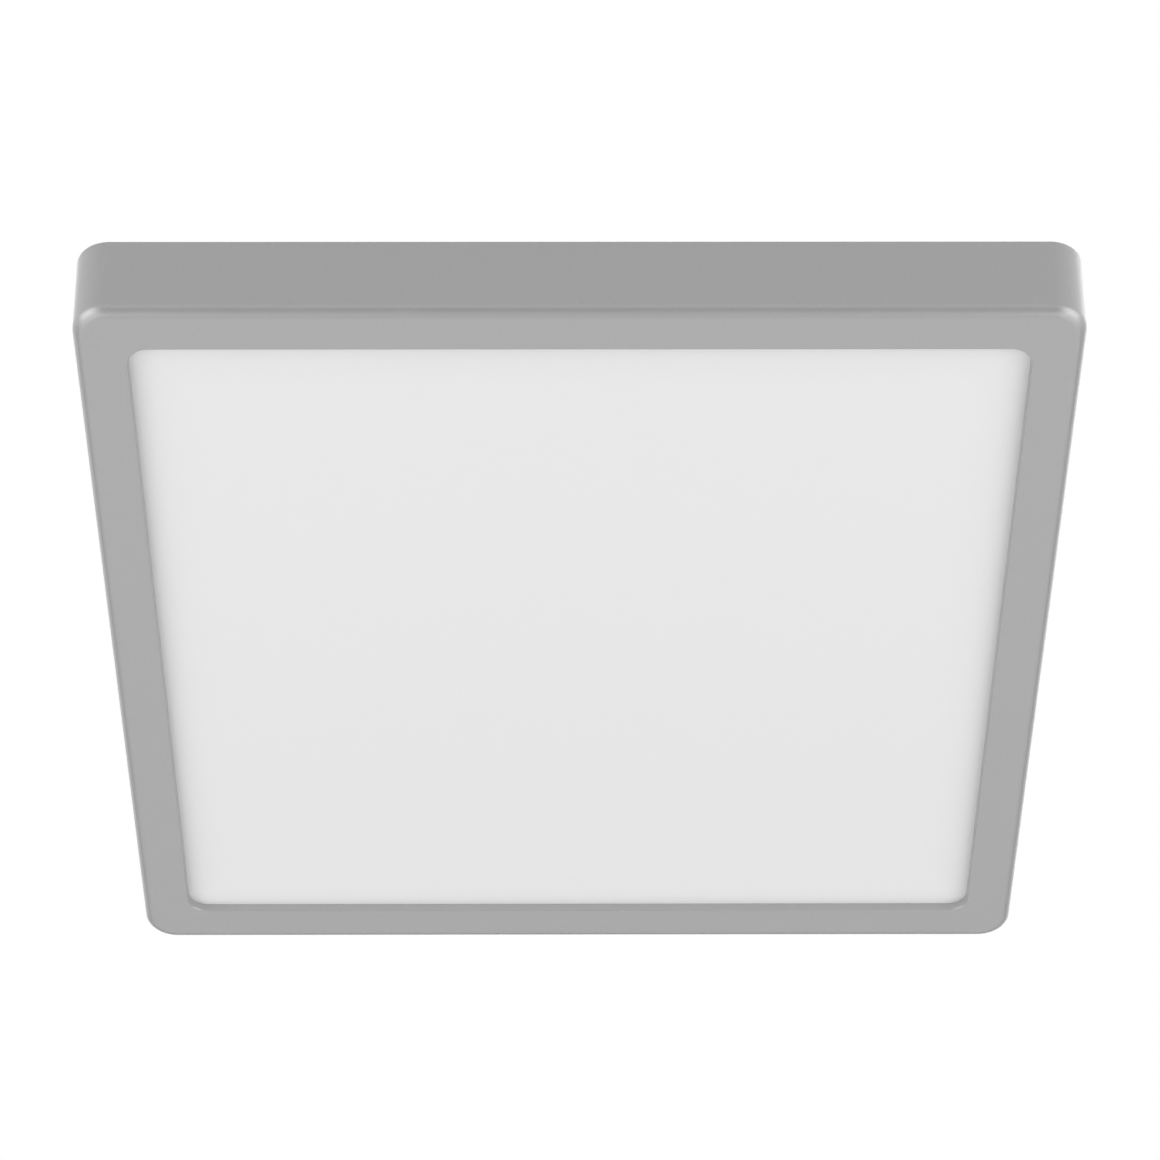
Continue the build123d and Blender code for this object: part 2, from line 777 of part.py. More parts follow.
with BuildPart() as driver_filter:
    with BuildSketch(Plane.XY.offset(board_top)):
        with Locations((-filter_place, driver_place + filter_shift)):
            RectangleRounded(filter_width, filter_length, filter_round)
    extrude(amount=filter_height)
save(driver_filter.part, "driver_filter")
save(
    screw(
        driver_ears,
        pad_z + driver_ear_thickness,
        driver_ear_thickness + plate_thickness + pad_screw_tip,
        thread_diameter,
        head_diameter,
        head_height,
    ),
    "driver_screws",
)

# Terminal block: base, body with wire entries and button pockets, contacts, screws, buttons
with BuildPart() as terminal_base:
    with BuildSketch(Plane.XY.offset(plate_z)):
        with Locations((block_x, block_y)):
            RectangleRounded(block_width, block_length, block_corner)
    extrude(amount=block_base)
save(terminal_base.part, "terminal_base")

with BuildPart() as terminal_block:
    with BuildSketch(Plane.XY.offset(block_z)):
        with Locations((block_x, block_y)):
            RectangleRounded(block_width, block_length, block_corner)
    extrude(amount=block_height)
    chamfer(terminal_block.faces().sort_by(Axis.Z)[-1].edges(), block_chamfer)
    with BuildSketch(Plane.XY.offset(pad_z)):
        for turn in (-1, 1):
            with Locations((block_x, block_y + turn * (block_length / 2 + ear_to_case))):
                Circle(block_ear_width / 2)
            with Locations((block_x, block_y + turn * (block_length / 2 + ear_to_case / 2 - block_chamfer))):
                Rectangle(block_ear_width, ear_to_case + 2 * block_chamfer)
        with Locations(*block_ears):
            Circle(thread_diameter / 2 + hole_gap, mode=Mode.SUBTRACT)
    extrude(amount=block_ear_thickness)
    with BuildSketch(Plane.XY.offset(block_z)):
        with Locations((block_x, block_y)):
            with GridLocations(pole_pitch, pole_pitch, 1, 3):
                Rectangle(chamber_length, chamber_width)
    extrude(amount=chamber_height, mode=Mode.SUBTRACT)
    with BuildSketch(facing(180, -block_x, wire_z)):
        with Locations((-live_pole, 0), (-neutral_pole, 0), (-earth_pole, 0)):
            Circle(wire_diameter / 2 + hole_gap)
    extrude(amount=block_width / 2, mode=Mode.SUBTRACT)
    with BuildSketch(facing(0, block_x, wire_z)):
        with Locations((live_pole, 0), (neutral_pole, 0), (earth_pole, 0)):
            Rectangle(entry_width, entry_width)
    extrude(amount=block_width / 2, mode=Mode.SUBTRACT)
    with BuildSketch(Plane.XY.offset(block_z + block_height)):
        with Locations((block_x, block_y)):
            with GridLocations(pole_pitch, pole_pitch, 1, 3):
                Rectangle(button_width + 2 * seat_gap, button_width + 2 * seat_gap)
    extrude(amount=-button_depth - button_travel - button_end_gap, mode=Mode.SUBTRACT)
save(terminal_block.part, "terminal_block")

with BuildPart() as terminal_contacts:
    with BuildSketch(Plane.XY.offset(block_z)):
        with Locations((block_x, block_y)):
            with GridLocations(pole_pitch, pole_pitch, 1, 3):
                Rectangle(chamber_length - 2 * seat_gap, chamber_width - 2 * seat_gap)
    extrude(amount=chamber_height - seat_gap)
    with BuildSketch(facing(0, block_x, wire_z)):
        with Locations((live_pole, 0), (neutral_pole, 0), (earth_pole, 0)):
            Rectangle(contact_window, contact_window)
    extrude(amount=chamber_length / 2, both=True, mode=Mode.SUBTRACT)
save(terminal_contacts.part, "terminal_contacts")
save(
    screw(
        block_ears,
        pad_z + block_ear_thickness,
        block_ear_thickness + plate_thickness + pad_screw_tip,
        thread_diameter,
        head_diameter,
        head_height,
    ),
    "terminal_screws",
)

for name, pole in {"live": live_pole, "neutral": neutral_pole, "earth": earth_pole}.items():
    with BuildPart() as release_button:
        with BuildSketch(Plane.XY.offset(block_z + block_height - button_depth)):
            with Locations((block_x, pole)):
                RectangleRounded(button_width, button_width, button_corner)
        extrude(amount=button_depth + button_rise)
        chamfer(release_button.faces().sort_by(Axis.Z)[-1].edges(), button_chamfer)
        with BuildSketch(Plane.XY.offset(block_z + block_height + button_rise)):
            with Locations((block_x, pole)):
                Rectangle(button_slot_length, button_slot_width)
        extrude(amount=-button_slot_depth, mode=Mode.SUBTRACT)
    save(release_button.part, f"release_button_{name}")

# Wires from the terminal block to the driver and to the earth tag
save(
    wire(
        [
            (block_wire_end, live_pole),
            (live_x, live_pole),
            (live_x, live_y),
            (-driver_wire_end, live_y),
        ],
        wire_diameter,
    ),
    "live_wire",
)
save(
    wire(
        [
            (block_wire_end, neutral_pole),
            (neutral_x, neutral_pole),
            (neutral_x, neutral_y),
            (-driver_wire_end, neutral_y),
        ],
        wire_diameter,
    ),
    "neutral_wire",
)
save(
    wire(
        [
            (block_wire_end, earth_pole),
            (earth_x, earth_pole),
            (earth_x, barrel_end_y + barrel_length - seat_gap),
        ],
        wire_diameter,
    ),
    "earth_wire",
)

with BuildPart() as earth_tag:
    with BuildSketch(Plane.XY.offset(pad_z)):
        with Locations((earth_x, earth_y)):
            Circle(tag_diameter / 2)
        with Locations((earth_x, (earth_y + barrel_end_y + barrel_length) / 2)):
            Rectangle(tag_neck_width, earth_y - barrel_end_y - barrel_length + 2 * tag_thickness)
    extrude(amount=tag_thickness)
    with BuildSketch(Plane.XZ.offset(-barrel_end_y)):
        with Locations((earth_x, wire_z)):
            Circle(barrel_diameter / 2)
    extrude(amount=-barrel_length)
    with BuildSketch(Plane.XZ.offset(-barrel_end_y)):
        with Locations((earth_x, wire_z)):
            Circle(wire_diameter / 2 + hole_gap)
    extrude(amount=-barrel_length - 2 * tag_thickness, mode=Mode.SUBTRACT)
    with BuildSketch(Plane.XY.offset(pad_z)):
        with Locations((earth_x, earth_y)):
            Circle(earth_thread / 2 + hole_gap)
    extrude(amount=tag_thickness, mode=Mode.SUBTRACT)
save(earth_tag.part, "earth_tag")
save(
    screw(
        [earth_spot],
        pad_z + tag_thickness,
        tag_thickness + plate_thickness + pad_screw_tip,
        earth_thread,
        earth_head,
        earth_head_height,
    ),
    "earth_screw",
)

with BuildPart() as wire_saddles:
    with BuildSketch(Plane.XY.offset(plate_z)):
        with Locations(((live_x + neutral_x) / 2, saddle_place)):
            Rectangle(saddle_length, saddle_width)
        with Locations((output_lane_x - lane_spacing / 2, output_saddle_place)):
            Rectangle(saddle_length, saddle_width)
    extrude(amount=wire_z + wire_diameter / 2 + saddle_cover - plate_z)
    chamfer(wire_saddles.edges().filter_by(Axis.Y).group_by(Axis.Z)[-1], saddle_chamfer)
    with BuildSketch(Plane.XZ.offset(-saddle_place)):
        with Locations((live_x, wire_z), (neutral_x, wire_z)):
            Circle(wire_diameter / 2 + hole_gap)
    extrude(amount=saddle_width, both=True, mode=Mode.SUBTRACT)
    with BuildSketch(Plane.XZ.offset(-output_saddle_place)):
        with Locations((output_lane_x, wire_z), (output_lane_x - lane_spacing, wire_z)):
            Circle(output_diameter / 2 + hole_gap)
    extrude(amount=saddle_width, both=True, mode=Mode.SUBTRACT)
save(wire_saddles.part, "wire_saddles")

# Ceiling bracket: stamped cross with flanged arms, joggled arm ends and a dish for the grommet
with BuildPart() as ceiling_bracket:
    with BuildSketch() as cross:
        Rectangle(2 * joggle_start + joggle_run, arm_web)
        Rectangle(arm_web, 2 * joggle_start + joggle_run)
        corners = cross.vertices().filter_by(lambda v: abs(v.X) < arm_web and abs(v.Y) < arm_web)
        fillet(corners, hub_fillet)
        Circle(dish_radius + dish_lap, mode=Mode.SUBTRACT)
        with Locations((-slot_place, 0), (slot_place, 0)):
            SlotOverall(slot_length, slot_width, mode=Mode.SUBTRACT)
        with Locations((0, -slot_place), (0, slot_place)):
            SlotOverall(slot_length, slot_width, rotation=90, mode=Mode.SUBTRACT)
    extrude(amount=-sheet)
    for angle in side_angles.values():
        # remove the flat arm end, then lower it by the joggle
        with BuildSketch():
            bar(angle, joggle_start, joggle_start + joggle_run, 0, arm_web + sheet)
        extrude(amount=-sheet, mode=Mode.SUBTRACT)
        with BuildSketch(across(angle)):
            with BuildLine():
                FilletPolyline(
                    (joggle_start - joggle_run, -sheet / 2),
                    (joggle_start, -sheet / 2),
                    (joggle_start + joggle_run, -sheet / 2 - joggle),
                    (arm_end, -sheet / 2 - joggle),
                    radius=sheet,
                )
            trace(line_width=sheet)
        extrude(amount=arm_pad_width / 2, both=True)
        with BuildSketch(facing(angle, arm_flange_start, 0)):
            with BuildLine():
                FilletPolyline(
                    (-arm_width / 2 + sheet / 2, -arm_flange),
                    (-arm_width / 2 + sheet / 2, -sheet / 2),
                    (arm_width / 2 - sheet / 2, -sheet / 2),
                    (arm_width / 2 - sheet / 2, -arm_flange),
                    radius=arm_bend,
                )
            trace(line_width=sheet)
            with Locations((0, -sheet / 2)):
                Rectangle(arm_web - 2 * sheet, 2 * sheet, mode=Mode.SUBTRACT)
        extrude(amount=arm_flange_end - arm_flange_start)
    with BuildSketch(Plane.XZ):
        with BuildLine():
            FilletPolyline(
                (dish_radius + 2 * dish_lap, -sheet / 2),
                (dish_radius, -sheet / 2),
                (dish_radius - dish_run, -sheet / 2 - dish_depth),
                (cable_hole / 2, -sheet / 2 - dish_depth),
                radius=sheet,
            )
        trace(line_width=sheet)
    revolve(axis=Axis.Z)
    with BuildSketch():
        with Locations(*rivet_places):
            Circle(rivet_diameter / 2 + hole_gap)
    extrude(amount=-sheet - 2 * joggle, mode=Mode.SUBTRACT)
save(ceiling_bracket.part, "ceiling_bracket")

with BuildPart() as cable_grommet:
    with BuildSketch(Plane.XZ):
        Polygon(
            (cable_bore / 2, grommet_top_z),
            (grommet_flange / 2, grommet_top_z),
            (grommet_flange / 2, -dish_depth),
            (cable_hole / 2 - hole_gap, -dish_depth),
            (cable_hole / 2 - hole_gap, -dish_depth - sheet),
            (grommet_flange / 2, -dish_depth - sheet),
            (grommet_flange / 2, -dish_depth - sheet - grommet_lip),
            (grommet_nose_diameter / 2, -dish_depth - sheet - grommet_lip),
            (grommet_nose_diameter / 2, grommet_end_z),
            (cable_bore / 2, grommet_end_z),
            align=None,
        )
    revolve(axis=Axis.Z)
save(cable_grommet.part, "cable_grommet")

# Spring clips below the arm ends, each held by two rivets
for name, angle in side_angles.items():
    with BuildPart() as spring_clip:
        with BuildSketch(across(angle)):
            with BuildLine():
                FilletPolyline(
                    (clip_bend - clip_root, clip_z),
                    (clip_bend, clip_z),
                    (clip_nose, clip_nose_z),
                    (clip_nose - clip_tail_run, clip_nose_z - clip_tail_drop),
                    radius=clip_fold,
                )
            trace(line_width=clip_thickness)
        extrude(amount=clip_width / 2, both=True)
        with BuildSketch():
            with Locations(*rivet_places):
                Circle(rivet_diameter / 2 + hole_gap)
        extrude(amount=2 * clip_z, mode=Mode.SUBTRACT)
    save(spring_clip.part, f"spring_clip_{name}")

with BuildPart() as clip_rivets:
    with BuildSketch(Plane.XY.offset(-joggle)):
        with Locations(*rivet_places):
            Circle(rivet_head / 2)
    extrude(amount=rivet_head_height, taper=rivet_taper)
    with BuildSketch(Plane.XY.offset(-joggle)):
        with Locations(*rivet_places):
            Circle(rivet_diameter / 2)
    extrude(amount=-sheet - clip_thickness)
    with BuildSketch(Plane.XY.offset(-joggle - sheet - clip_thickness)):
        with Locations(*rivet_places):
            Circle(rivet_head / 2)
    extrude(amount=-rivet_head_height, taper=rivet_taper)
save(clip_rivets.part, "clip_rivets")
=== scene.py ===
"""Looks of a square surface-mounted LED ceiling light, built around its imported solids.

The origin is on the ceiling plane in the middle of the light, +Z points up into the
ceiling and the diffuser looks down along -Z. Lengths are in metres.
"""

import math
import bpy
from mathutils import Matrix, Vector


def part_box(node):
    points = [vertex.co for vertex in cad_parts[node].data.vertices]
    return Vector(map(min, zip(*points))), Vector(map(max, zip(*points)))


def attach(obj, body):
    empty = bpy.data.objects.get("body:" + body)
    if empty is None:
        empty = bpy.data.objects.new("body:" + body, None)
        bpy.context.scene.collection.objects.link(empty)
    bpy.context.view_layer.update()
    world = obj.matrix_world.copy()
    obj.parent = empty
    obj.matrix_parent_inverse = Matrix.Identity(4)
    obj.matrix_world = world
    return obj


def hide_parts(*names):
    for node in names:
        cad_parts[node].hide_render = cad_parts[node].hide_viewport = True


bl_info = {
    "name": "Square LED ceiling light",
    "version": (1, 0, 0),
    "blender": (4, 5, 0),
    "location": "View3D > Sidebar > Ceiling light",
    "description": "Builds the casing, diffuser, fittings and studio of a square LED ceiling light",
    "category": "Object",
}

import bmesh
import bpy
from bpy.props import FloatProperty, FloatVectorProperty, PointerProperty
from mathutils import Matrix, Vector

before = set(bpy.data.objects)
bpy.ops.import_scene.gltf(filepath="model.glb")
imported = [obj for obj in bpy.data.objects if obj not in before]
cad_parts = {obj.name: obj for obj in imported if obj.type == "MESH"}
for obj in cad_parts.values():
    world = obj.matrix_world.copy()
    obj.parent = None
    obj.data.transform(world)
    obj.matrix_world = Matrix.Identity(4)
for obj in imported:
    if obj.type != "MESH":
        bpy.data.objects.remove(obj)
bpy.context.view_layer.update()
CASING_LOW, CASING_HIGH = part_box("frame")
DIFFUSER_LOW, DIFFUSER_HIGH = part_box("diffuser")
PLATE_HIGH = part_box("back_plate")[1]
SCREWS_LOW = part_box("back_plate_screws")[0]
GROMMET_LOW, GROMMET_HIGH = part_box("cable_grommet")
RIVETS_LOW, RIVETS_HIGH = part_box("clip_rivets")

MM = 0.001
SIDES = {"right": 0, "back": 90, "left": 180, "front": 270}
CORNER_STEPS = 18  # facets in each rounded corner
SIDE_STEPS = 10  # facets along each straight side
TURN_STEPS = 40  # facets round a turned piece
ROUND_STEPS = 5  # facets in each rounded corner of an outline
MERGE = 1e-6  # vertices of a solid that lie closer are one

# sizes shared with the solids
ROOT = 0.3 * MM  # bite of ribs and bosses into the wall that they stand on
SEAT_GAP = 0.2 * MM  # play beside the diffuser and under the screws
PLATE_SHEET = 0.8 * MM  # thickness of the back plate
PAD_RISE = 2.4 * MM  # pads of the back plate above its sheet
# places along each side, in mm from its middle
OPTICS_RIBS = (-105, -35, 35, 105)
WALL_RIBS = (-96, -46, 46, 96)
BOSSES = (-70, 70)
# screws: head, height of the head and thread
PAN_SCREW = (5.6 * MM, 1.9 * MM, 2.8 * MM)
EARTH_SCREW = (7.4 * MM, 2.6 * MM, 4.0 * MM)


# ---------------------------------------------------------------- sizes and colours


class CasingSizes(bpy.types.PropertyGroup):
    """Sizes of the moulded casing."""

    side: FloatProperty(
        name="Side",
        description="Width and length at the ceiling",
        default=CASING_HIGH.x - CASING_LOW.x,
        unit="LENGTH",
    )
    height: FloatProperty(
        name="Height",
        description="Ceiling to rim face",
        default=CASING_HIGH.z - CASING_LOW.z,
        unit="LENGTH",
    )
    corner_radius: FloatProperty(
        name="Corner radius",
        description="Rounding of the upright corners",
        default=10.0 * MM,
        unit="LENGTH",
    )
    edge_radius: FloatProperty(
        name="Edge radius",
        description="Rounding between the side wall and the rim face",
        default=3.2 * MM,
        unit="LENGTH",
    )
    draft: FloatProperty(
        name="Draft",
        description="Angle by which the side wall leans in towards the room",
        default=math.radians(1.8),
        subtype="ANGLE",
    )
    wall: FloatProperty(
        name="Wall",
        description="Thickness of the side wall and the rim",
        default=2.0 * MM,
        unit="LENGTH",
    )
    rim_width: FloatProperty(
        name="Rim width",
        description="Side wall at the ceiling to the light opening",
        default=15.6 * MM,
        unit="LENGTH",
    )
    opening_radius: FloatProperty(
        name="Opening radius",
        description="Corners of the light opening",
        default=6.0 * MM,
        unit="LENGTH",
    )
    opening_edge: FloatProperty(
        name="Opening edge",
        description="Rounding of the rim at the light opening",
        default=0.5 * MM,
        unit="LENGTH",
    )
    lip_wall: FloatProperty(
        name="Lip",
        description="Thickness of the lip that carries the diffuser",
        default=1.8 * MM,
        unit="LENGTH",
    )


def tint(name, description, *colour):
    """Colour property of one finish."""
    return FloatVectorProperty(
        name=name, description=description, default=colour, size=3, subtype="COLOR", min=0.0, max=1.0
    )


class FinishColours(bpy.types.PropertyGroup):
    """Colours of the finishes."""

    casing: tint("Casing", "Satin grey lacquer of the casing", 0.42, 0.42, 0.42)
    diffuser: tint("Diffuser", "Opal acrylic", 0.82, 0.82, 0.82)
    steel: tint("Sheet steel", "Zinc-coated sheet", 0.46, 0.474, 0.483)
    spring: tint("Spring steel", "Blued spring strip", 0.35, 0.36, 0.38)
    bright: tint("Screws", "Bright zinc of screws and rivets", 0.66, 0.66, 0.66)
    moulding: tint("White mouldings", "Driver, terminal block and plug", 0.85, 0.85, 0.83)
    live: tint("Live", "Insulation of the live wire", 0.2, 0.08, 0.04)
    neutral: tint("Neutral", "Insulation of the neutral wire", 0.05, 0.16, 0.5)
    earth: tint("Earth", "Ground colour of the earth wire", 0.1, 0.42, 0.06)
    earth_stripe: tint("Earth stripe", "Stripe of the earth wire", 0.78, 0.66, 0.05)
    positive: tint("Positive", "Insulation of the positive output wire", 0.62, 0.04, 0.04)
    negative: tint("Negative", "Insulation of the negative output wire", 0.03, 0.03, 0.03)


class StudioSettings(bpy.types.PropertyGroup):
    """Camera, lamps and floor."""

    lens: FloatProperty(
        name="Lens",
        description="Focal length on a 36 mm sensor",
        default=121.939,
        subtype="DISTANCE_CAMERA",
    )
    distance: FloatProperty(
        name="Distance", description="Camera to aim point", default=1.1889, unit="LENGTH"
    )
    pitch: FloatProperty(
        name="Pitch",
        description="How far the camera is below the light",
        default=math.radians(42.814),
        subtype="ANGLE",
    )
    yaw: FloatProperty(
        name="Yaw",
        description="Turn of the camera round the light",
        default=math.radians(-0.364),
        subtype="ANGLE",
    )
    roll: FloatProperty(
        name="Roll", description="Tilt of the picture", default=math.radians(-0.297), subtype="ANGLE"
    )
    aim: FloatVectorProperty(
        name="Aim",
        description="Point that the camera looks at",
        default=(0.343 * MM, -17.159 * MM, -14.0 * MM),
        size=3,
        subtype="TRANSLATION",
        unit="LENGTH",
    )
    ambient: FloatProperty(
        name="Ambient", description="Strength of the light from all round", default=0.01, min=0.0
    )
    front: FloatProperty(
        name="Front lamps", description="Soft box in front, on either side", default=10.6, unit="POWER"
    )
    under: FloatProperty(
        name="Under lamps", description="Large lamp below, on either side", default=18.1, unit="POWER"
    )
    rear: FloatProperty(
        name="Rear lamp", description="Wide lamp below and behind", default=13.6, unit="POWER"
    )
    top: FloatProperty(
        name="Top lamp", description="Large lamp above and behind", default=20.0, unit="POWER"
    )
    floor_drop: FloatProperty(
        name="Floor", description="Ceiling to floor", default=2.4, unit="LENGTH"
    )
    floor_tone: FloatProperty(
        name="Floor tone", description="Paleness of the floor in the picture", default=0.7, min=0.0
    )


# ---------------------------------------------------------------- shapes


def square_ring(half, radius, level):
    """Points round a rounded square, the same number at any size."""
    centre = half - radius
    arcs = []
    for quarter in range(4):
        turn = math.radians(90 * quarter)
        middle = Matrix.Rotation(turn, 2) @ Vector((centre, centre))
        arc = []
        for step in range(CORNER_STEPS + 1):
            angle = turn + math.radians(90) * step / CORNER_STEPS
            x, y = middle.x + radius * math.cos(angle), middle.y + radius * math.sin(angle)
            arc.append(Vector((x, y, level)))
        arcs.append(arc)
    ring = []
    for quarter, arc in enumerate(arcs):
        ring += arc
        following = arcs[(quarter + 1) % 4][0]
        for step in range(1, SIDE_STEPS):
            ring.append(arc[-1].lerp(following, step / SIDE_STEPS))
    return ring


def skin(bm, rings, closed=False, caps=False):
    """Faces between rings of equal length, with flat ends or joined end to end."""
    rows = [[bm.verts.new(point) for point in ring] for ring in rings]
    count = len(rows[0])
    pairs = list(zip(rows, rows[1:]))
    if closed:
        pairs.append((rows[-1], rows[0]))
    for low, high in pairs:
        for i in range(count):
            j = (i + 1) % count
            bm.faces.new((low[i], low[j], high[j], high[i]))
    if caps:
        bm.faces.new(reversed(rows[0]))
        bm.faces.new(rows[-1])


def turned(bm, outline, centre=(0, 0)):
    """Closed outline of (radius, level) turned about an upright axis."""
    rows = []
    for radius, level in outline:
        if radius < 1e-7:
            rows.append([bm.verts.new((centre[0], centre[1], level))])
            continue
        row = []
        for step in range(TURN_STEPS):
            angle = 2 * math.pi * step / TURN_STEPS
            x, y = centre[0] + radius * math.cos(angle), centre[1] + radius * math.sin(angle)
            row.append(bm.verts.new((x, y, level)))
        rows.append(row)
    for low, high in zip(rows, rows[1:] + rows[:1]):
        if len(low) == 1 and len(high) == 1:
            continue
        for i in range(TURN_STEPS):
            j = (i + 1) % TURN_STEPS
            corners = [low[i % len(low)], low[j % len(low)], high[j % len(high)], high[i % len(high)]]
            bm.faces.new(list(dict.fromkeys(corners)))


def rounded(corners):
    """Outline with each corner (x, y, radius) rounded."""
    outline = []
    for i, (x, y, radius) in enumerate(corners):
        corner = Vector((x, y))
        before = (Vector(corners[i - 1][:2]) - corner).normalized()
        after = (Vector(corners[(i + 1) % len(corners)][:2]) - corner).normalized()
        half = before.angle(after) / 2
        middle = corner + (before + after).normalized() * radius / math.sin(half)
        start = corner + before * radius / math.tan(half) - middle
        end = corner + after * radius / math.tan(half) - middle
        sweep = start.angle_signed(end)
        for step in range(ROUND_STEPS + 1):
            outline.append(tuple(middle + Matrix.Rotation(-sweep * step / ROUND_STEPS, 2) @ start))
    return outline


def on_side(angle, out, along, level):
    """Point given outwards from the middle and along one side of the light."""
    turn = math.radians(angle)
    return Vector(
        (
            out * math.cos(turn) - along * math.sin(turn),
            out * math.sin(turn) + along * math.cos(turn),
            level,
        )
    )


def slab(bm, outline, angle, along, width, edge):
    """Slab square to one side, from its (out, level) outline, with its edges eased."""
    start = len(bm.verts)
    rows = []
    for offset in (-width / 2, width / 2):
        rows.append([bm.verts.new(on_side(angle, out, along + offset, level)) for out, level in outline])
    near, far = rows
    count = len(outline)
    bm.faces.new(reversed(near))
    bm.faces.new(far)
    for i in range(count):
        j = (i + 1) % count
        bm.faces.new((near[i], near[j], far[j], far[i]))
    bm.verts.ensure_lookup_table()
    edges = list(dict.fromkeys(e for v in bm.verts[start:] for e in v.link_edges))
    bmesh.ops.bevel(
        bm, geom=edges, offset=edge, segments=2, profile=0.5, affect="EDGES", clamp_overlap=True
    )


def new_piece(name, bm, crease=35):
    """Object from a bmesh, smooth but for its creases."""
    bmesh.ops.recalc_face_normals(bm, faces=bm.faces)
    mesh = bpy.data.meshes.new(name)
    bm.to_mesh(mesh)
    bm.free()
    mesh.shade_smooth()
    mesh.set_sharp_from_angle(angle=math.radians(crease))
    piece = bpy.data.objects.new(name, mesh)
    bpy.context.scene.collection.objects.link(piece)
    return piece


def settle(piece):
    """Bakes a piece's modifiers into its mesh."""
    bpy.context.view_layer.update()
    graph = bpy.context.evaluated_depsgraph_get()
    shown = piece.evaluated_get(graph)
    mesh = bpy.data.meshes.new_from_object(shown, preserve_all_data_layers=True, depsgraph=graph)
    piece.modifiers.clear()
    piece.data = mesh
    return piece


def eased(name, node, width):
    """Copy of a solid with its sharp edges rounded off."""
    bm = bmesh.new()
    bm.from_mesh(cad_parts[node].data)
    bmesh.ops.remove_doubles(bm, verts=bm.verts, dist=MERGE)
    bmesh.ops.dissolve_limit(bm, angle_limit=math.radians(0.5), verts=bm.verts, edges=bm.edges)
    piece = new_piece(name, bm, 180)  # no creases: the rounding takes their place
    rounding = piece.modifiers.new("edges", "BEVEL")
    rounding.width = width
    rounding.segments = 2
    rounding.limit_method = "ANGLE"
    rounding.angle_limit = math.radians(40)
    rounding.use_clamp_overlap = False
    rounding.miter_outer = "MITER_ARC"
    weighted = piece.modifiers.new("normals", "WEIGHTED_NORMAL")
    weighted.keep_sharp = True
    return settle(piece)


def fit(piece, body, slot, finish, *nodes):
    """Gives a piece its finish and its place on the light."""
    piece.data.materials.clear()
    piece.data.materials.append(finish)
    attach(piece, body)
    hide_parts(*nodes)
    return piece


def coat(finish, *nodes):
    """Finishes solids that are shown as they are."""
    for node in nodes:
        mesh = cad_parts[node].data
        mesh.materials.clear()
        mesh.materials.append(finish)


# ---------------------------------------------------------------- finishes


class Finish:
    """Material with one shader and the textures that feed it, in the object's own space."""

    def __init__(self, name, roughness, metallic=0.0, specular=0.5):
        self.material = bpy.data.materials.new(name)
        self.material.use_nodes = True
        self.tree = self.material.node_tree
        self.shader = self.tree.nodes["Principled BSDF"]
        self.shader.inputs["Roughness"].default_value = roughness
        self.shader.inputs["Metallic"].default_value = metallic
        self.shader.inputs["Specular IOR Level"].default_value = specular
        self.place = self.tree.nodes.new("ShaderNodeTexCoord").outputs["Object"]

    def node(self, kind, **settings):
        made = self.tree.nodes.new(kind)
        for name, value in settings.items():
            setattr(made, name, value)
        return made

    def link(self, output, target):
        self.tree.links.new(output, target)

    def noise(self, scale, detail=2.0, stretch=None):
        """Cloudy texture, with its grain drawn out along an axis if asked."""
        texture = self.node("ShaderNodeTexNoise")
        texture.inputs["Scale"].default_value = scale
        texture.inputs["Detail"].default_value = detail
        place = self.place
        if stretch:
            mapping = self.node("ShaderNodeMapping")
            mapping.inputs["Scale"].default_value = stretch
            self.link(place, mapping.inputs["Vector"])
            place = mapping.outputs["Vector"]
        self.link(place, texture.inputs["Vector"])
        return texture.outputs["Fac"]

    def cells(self, scale):
        """Patches like the spangle of a zinc coat."""
        texture = self.node("ShaderNodeTexVoronoi", feature="F1")
        texture.inputs["Scale"].default_value = scale
        self.link(self.place, texture.inputs["Vector"])
        patch = self.node("ShaderNodeSeparateColor")
        self.link(texture.outputs["Color"], patch.inputs["Color"])
        return patch.outputs["Red"]

    def span(self, fac, low, high, start=0.3, end=0.7):
        """Number that follows a texture."""
        reach = self.node("ShaderNodeMapRange")
        reach.inputs["From Min"].default_value = start
        reach.inputs["From Max"].default_value = end
        reach.inputs["To Min"].default_value = low
        reach.inputs["To Max"].default_value = high
        self.link(fac, reach.inputs["Value"])
        return reach.outputs["Result"]

    def tones(self, fac, *stops):
        """Colour that follows a texture, from (position, colour) stops."""
        ramp = self.node("ShaderNodeValToRGB")
        elements = ramp.color_ramp.elements
        while len(elements) < len(stops):
            elements.new(0.5)
        for element, (position, colour) in zip(elements, stops):
            element.position = position
            element.color = (*colour, 1.0)
        self.link(fac, ramp.inputs["Fac"])
        return ramp.outputs["Color"]

    def colour(self, output):
        self.link(output, self.shader.inputs["Base Color"])

    def roughness(self, fac, low, high):
        self.link(self.span(fac, low, high), self.shader.inputs["Roughness"])

    def relief(self, fac, depth, strength):
        """Bump of a given depth."""
        bump = self.node("ShaderNodeBump")
        bump.inputs["Strength"].default_value = strength
        bump.inputs["Distance"].default_value = depth
        self.link(fac, bump.inputs["Height"])
        self.link(bump.outputs["Normal"], self.shader.inputs["Normal"])


def scaled(colour, share):
    """Colour made darker or lighter."""
    return tuple(min(1.0, part * share) for part in colour)


def satin_lacquer(name, colour):
    """Grey lacquer with fine metal flake and a faint orange peel."""
    finish = Finish(name, 0.345, metallic=0.28)
    flake = finish.noise(2600.0, 1.0)
    finish.colour(finish.tones(flake, (0.3, scaled(colour, 0.97)), (0.7, scaled(colour, 1.03))))
    finish.roughness(finish.noise(60.0), 0.33, 0.36)
    finish.relief(finish.noise(900.0, 1.0), 0.02 * MM, 0.15)
    return finish.material


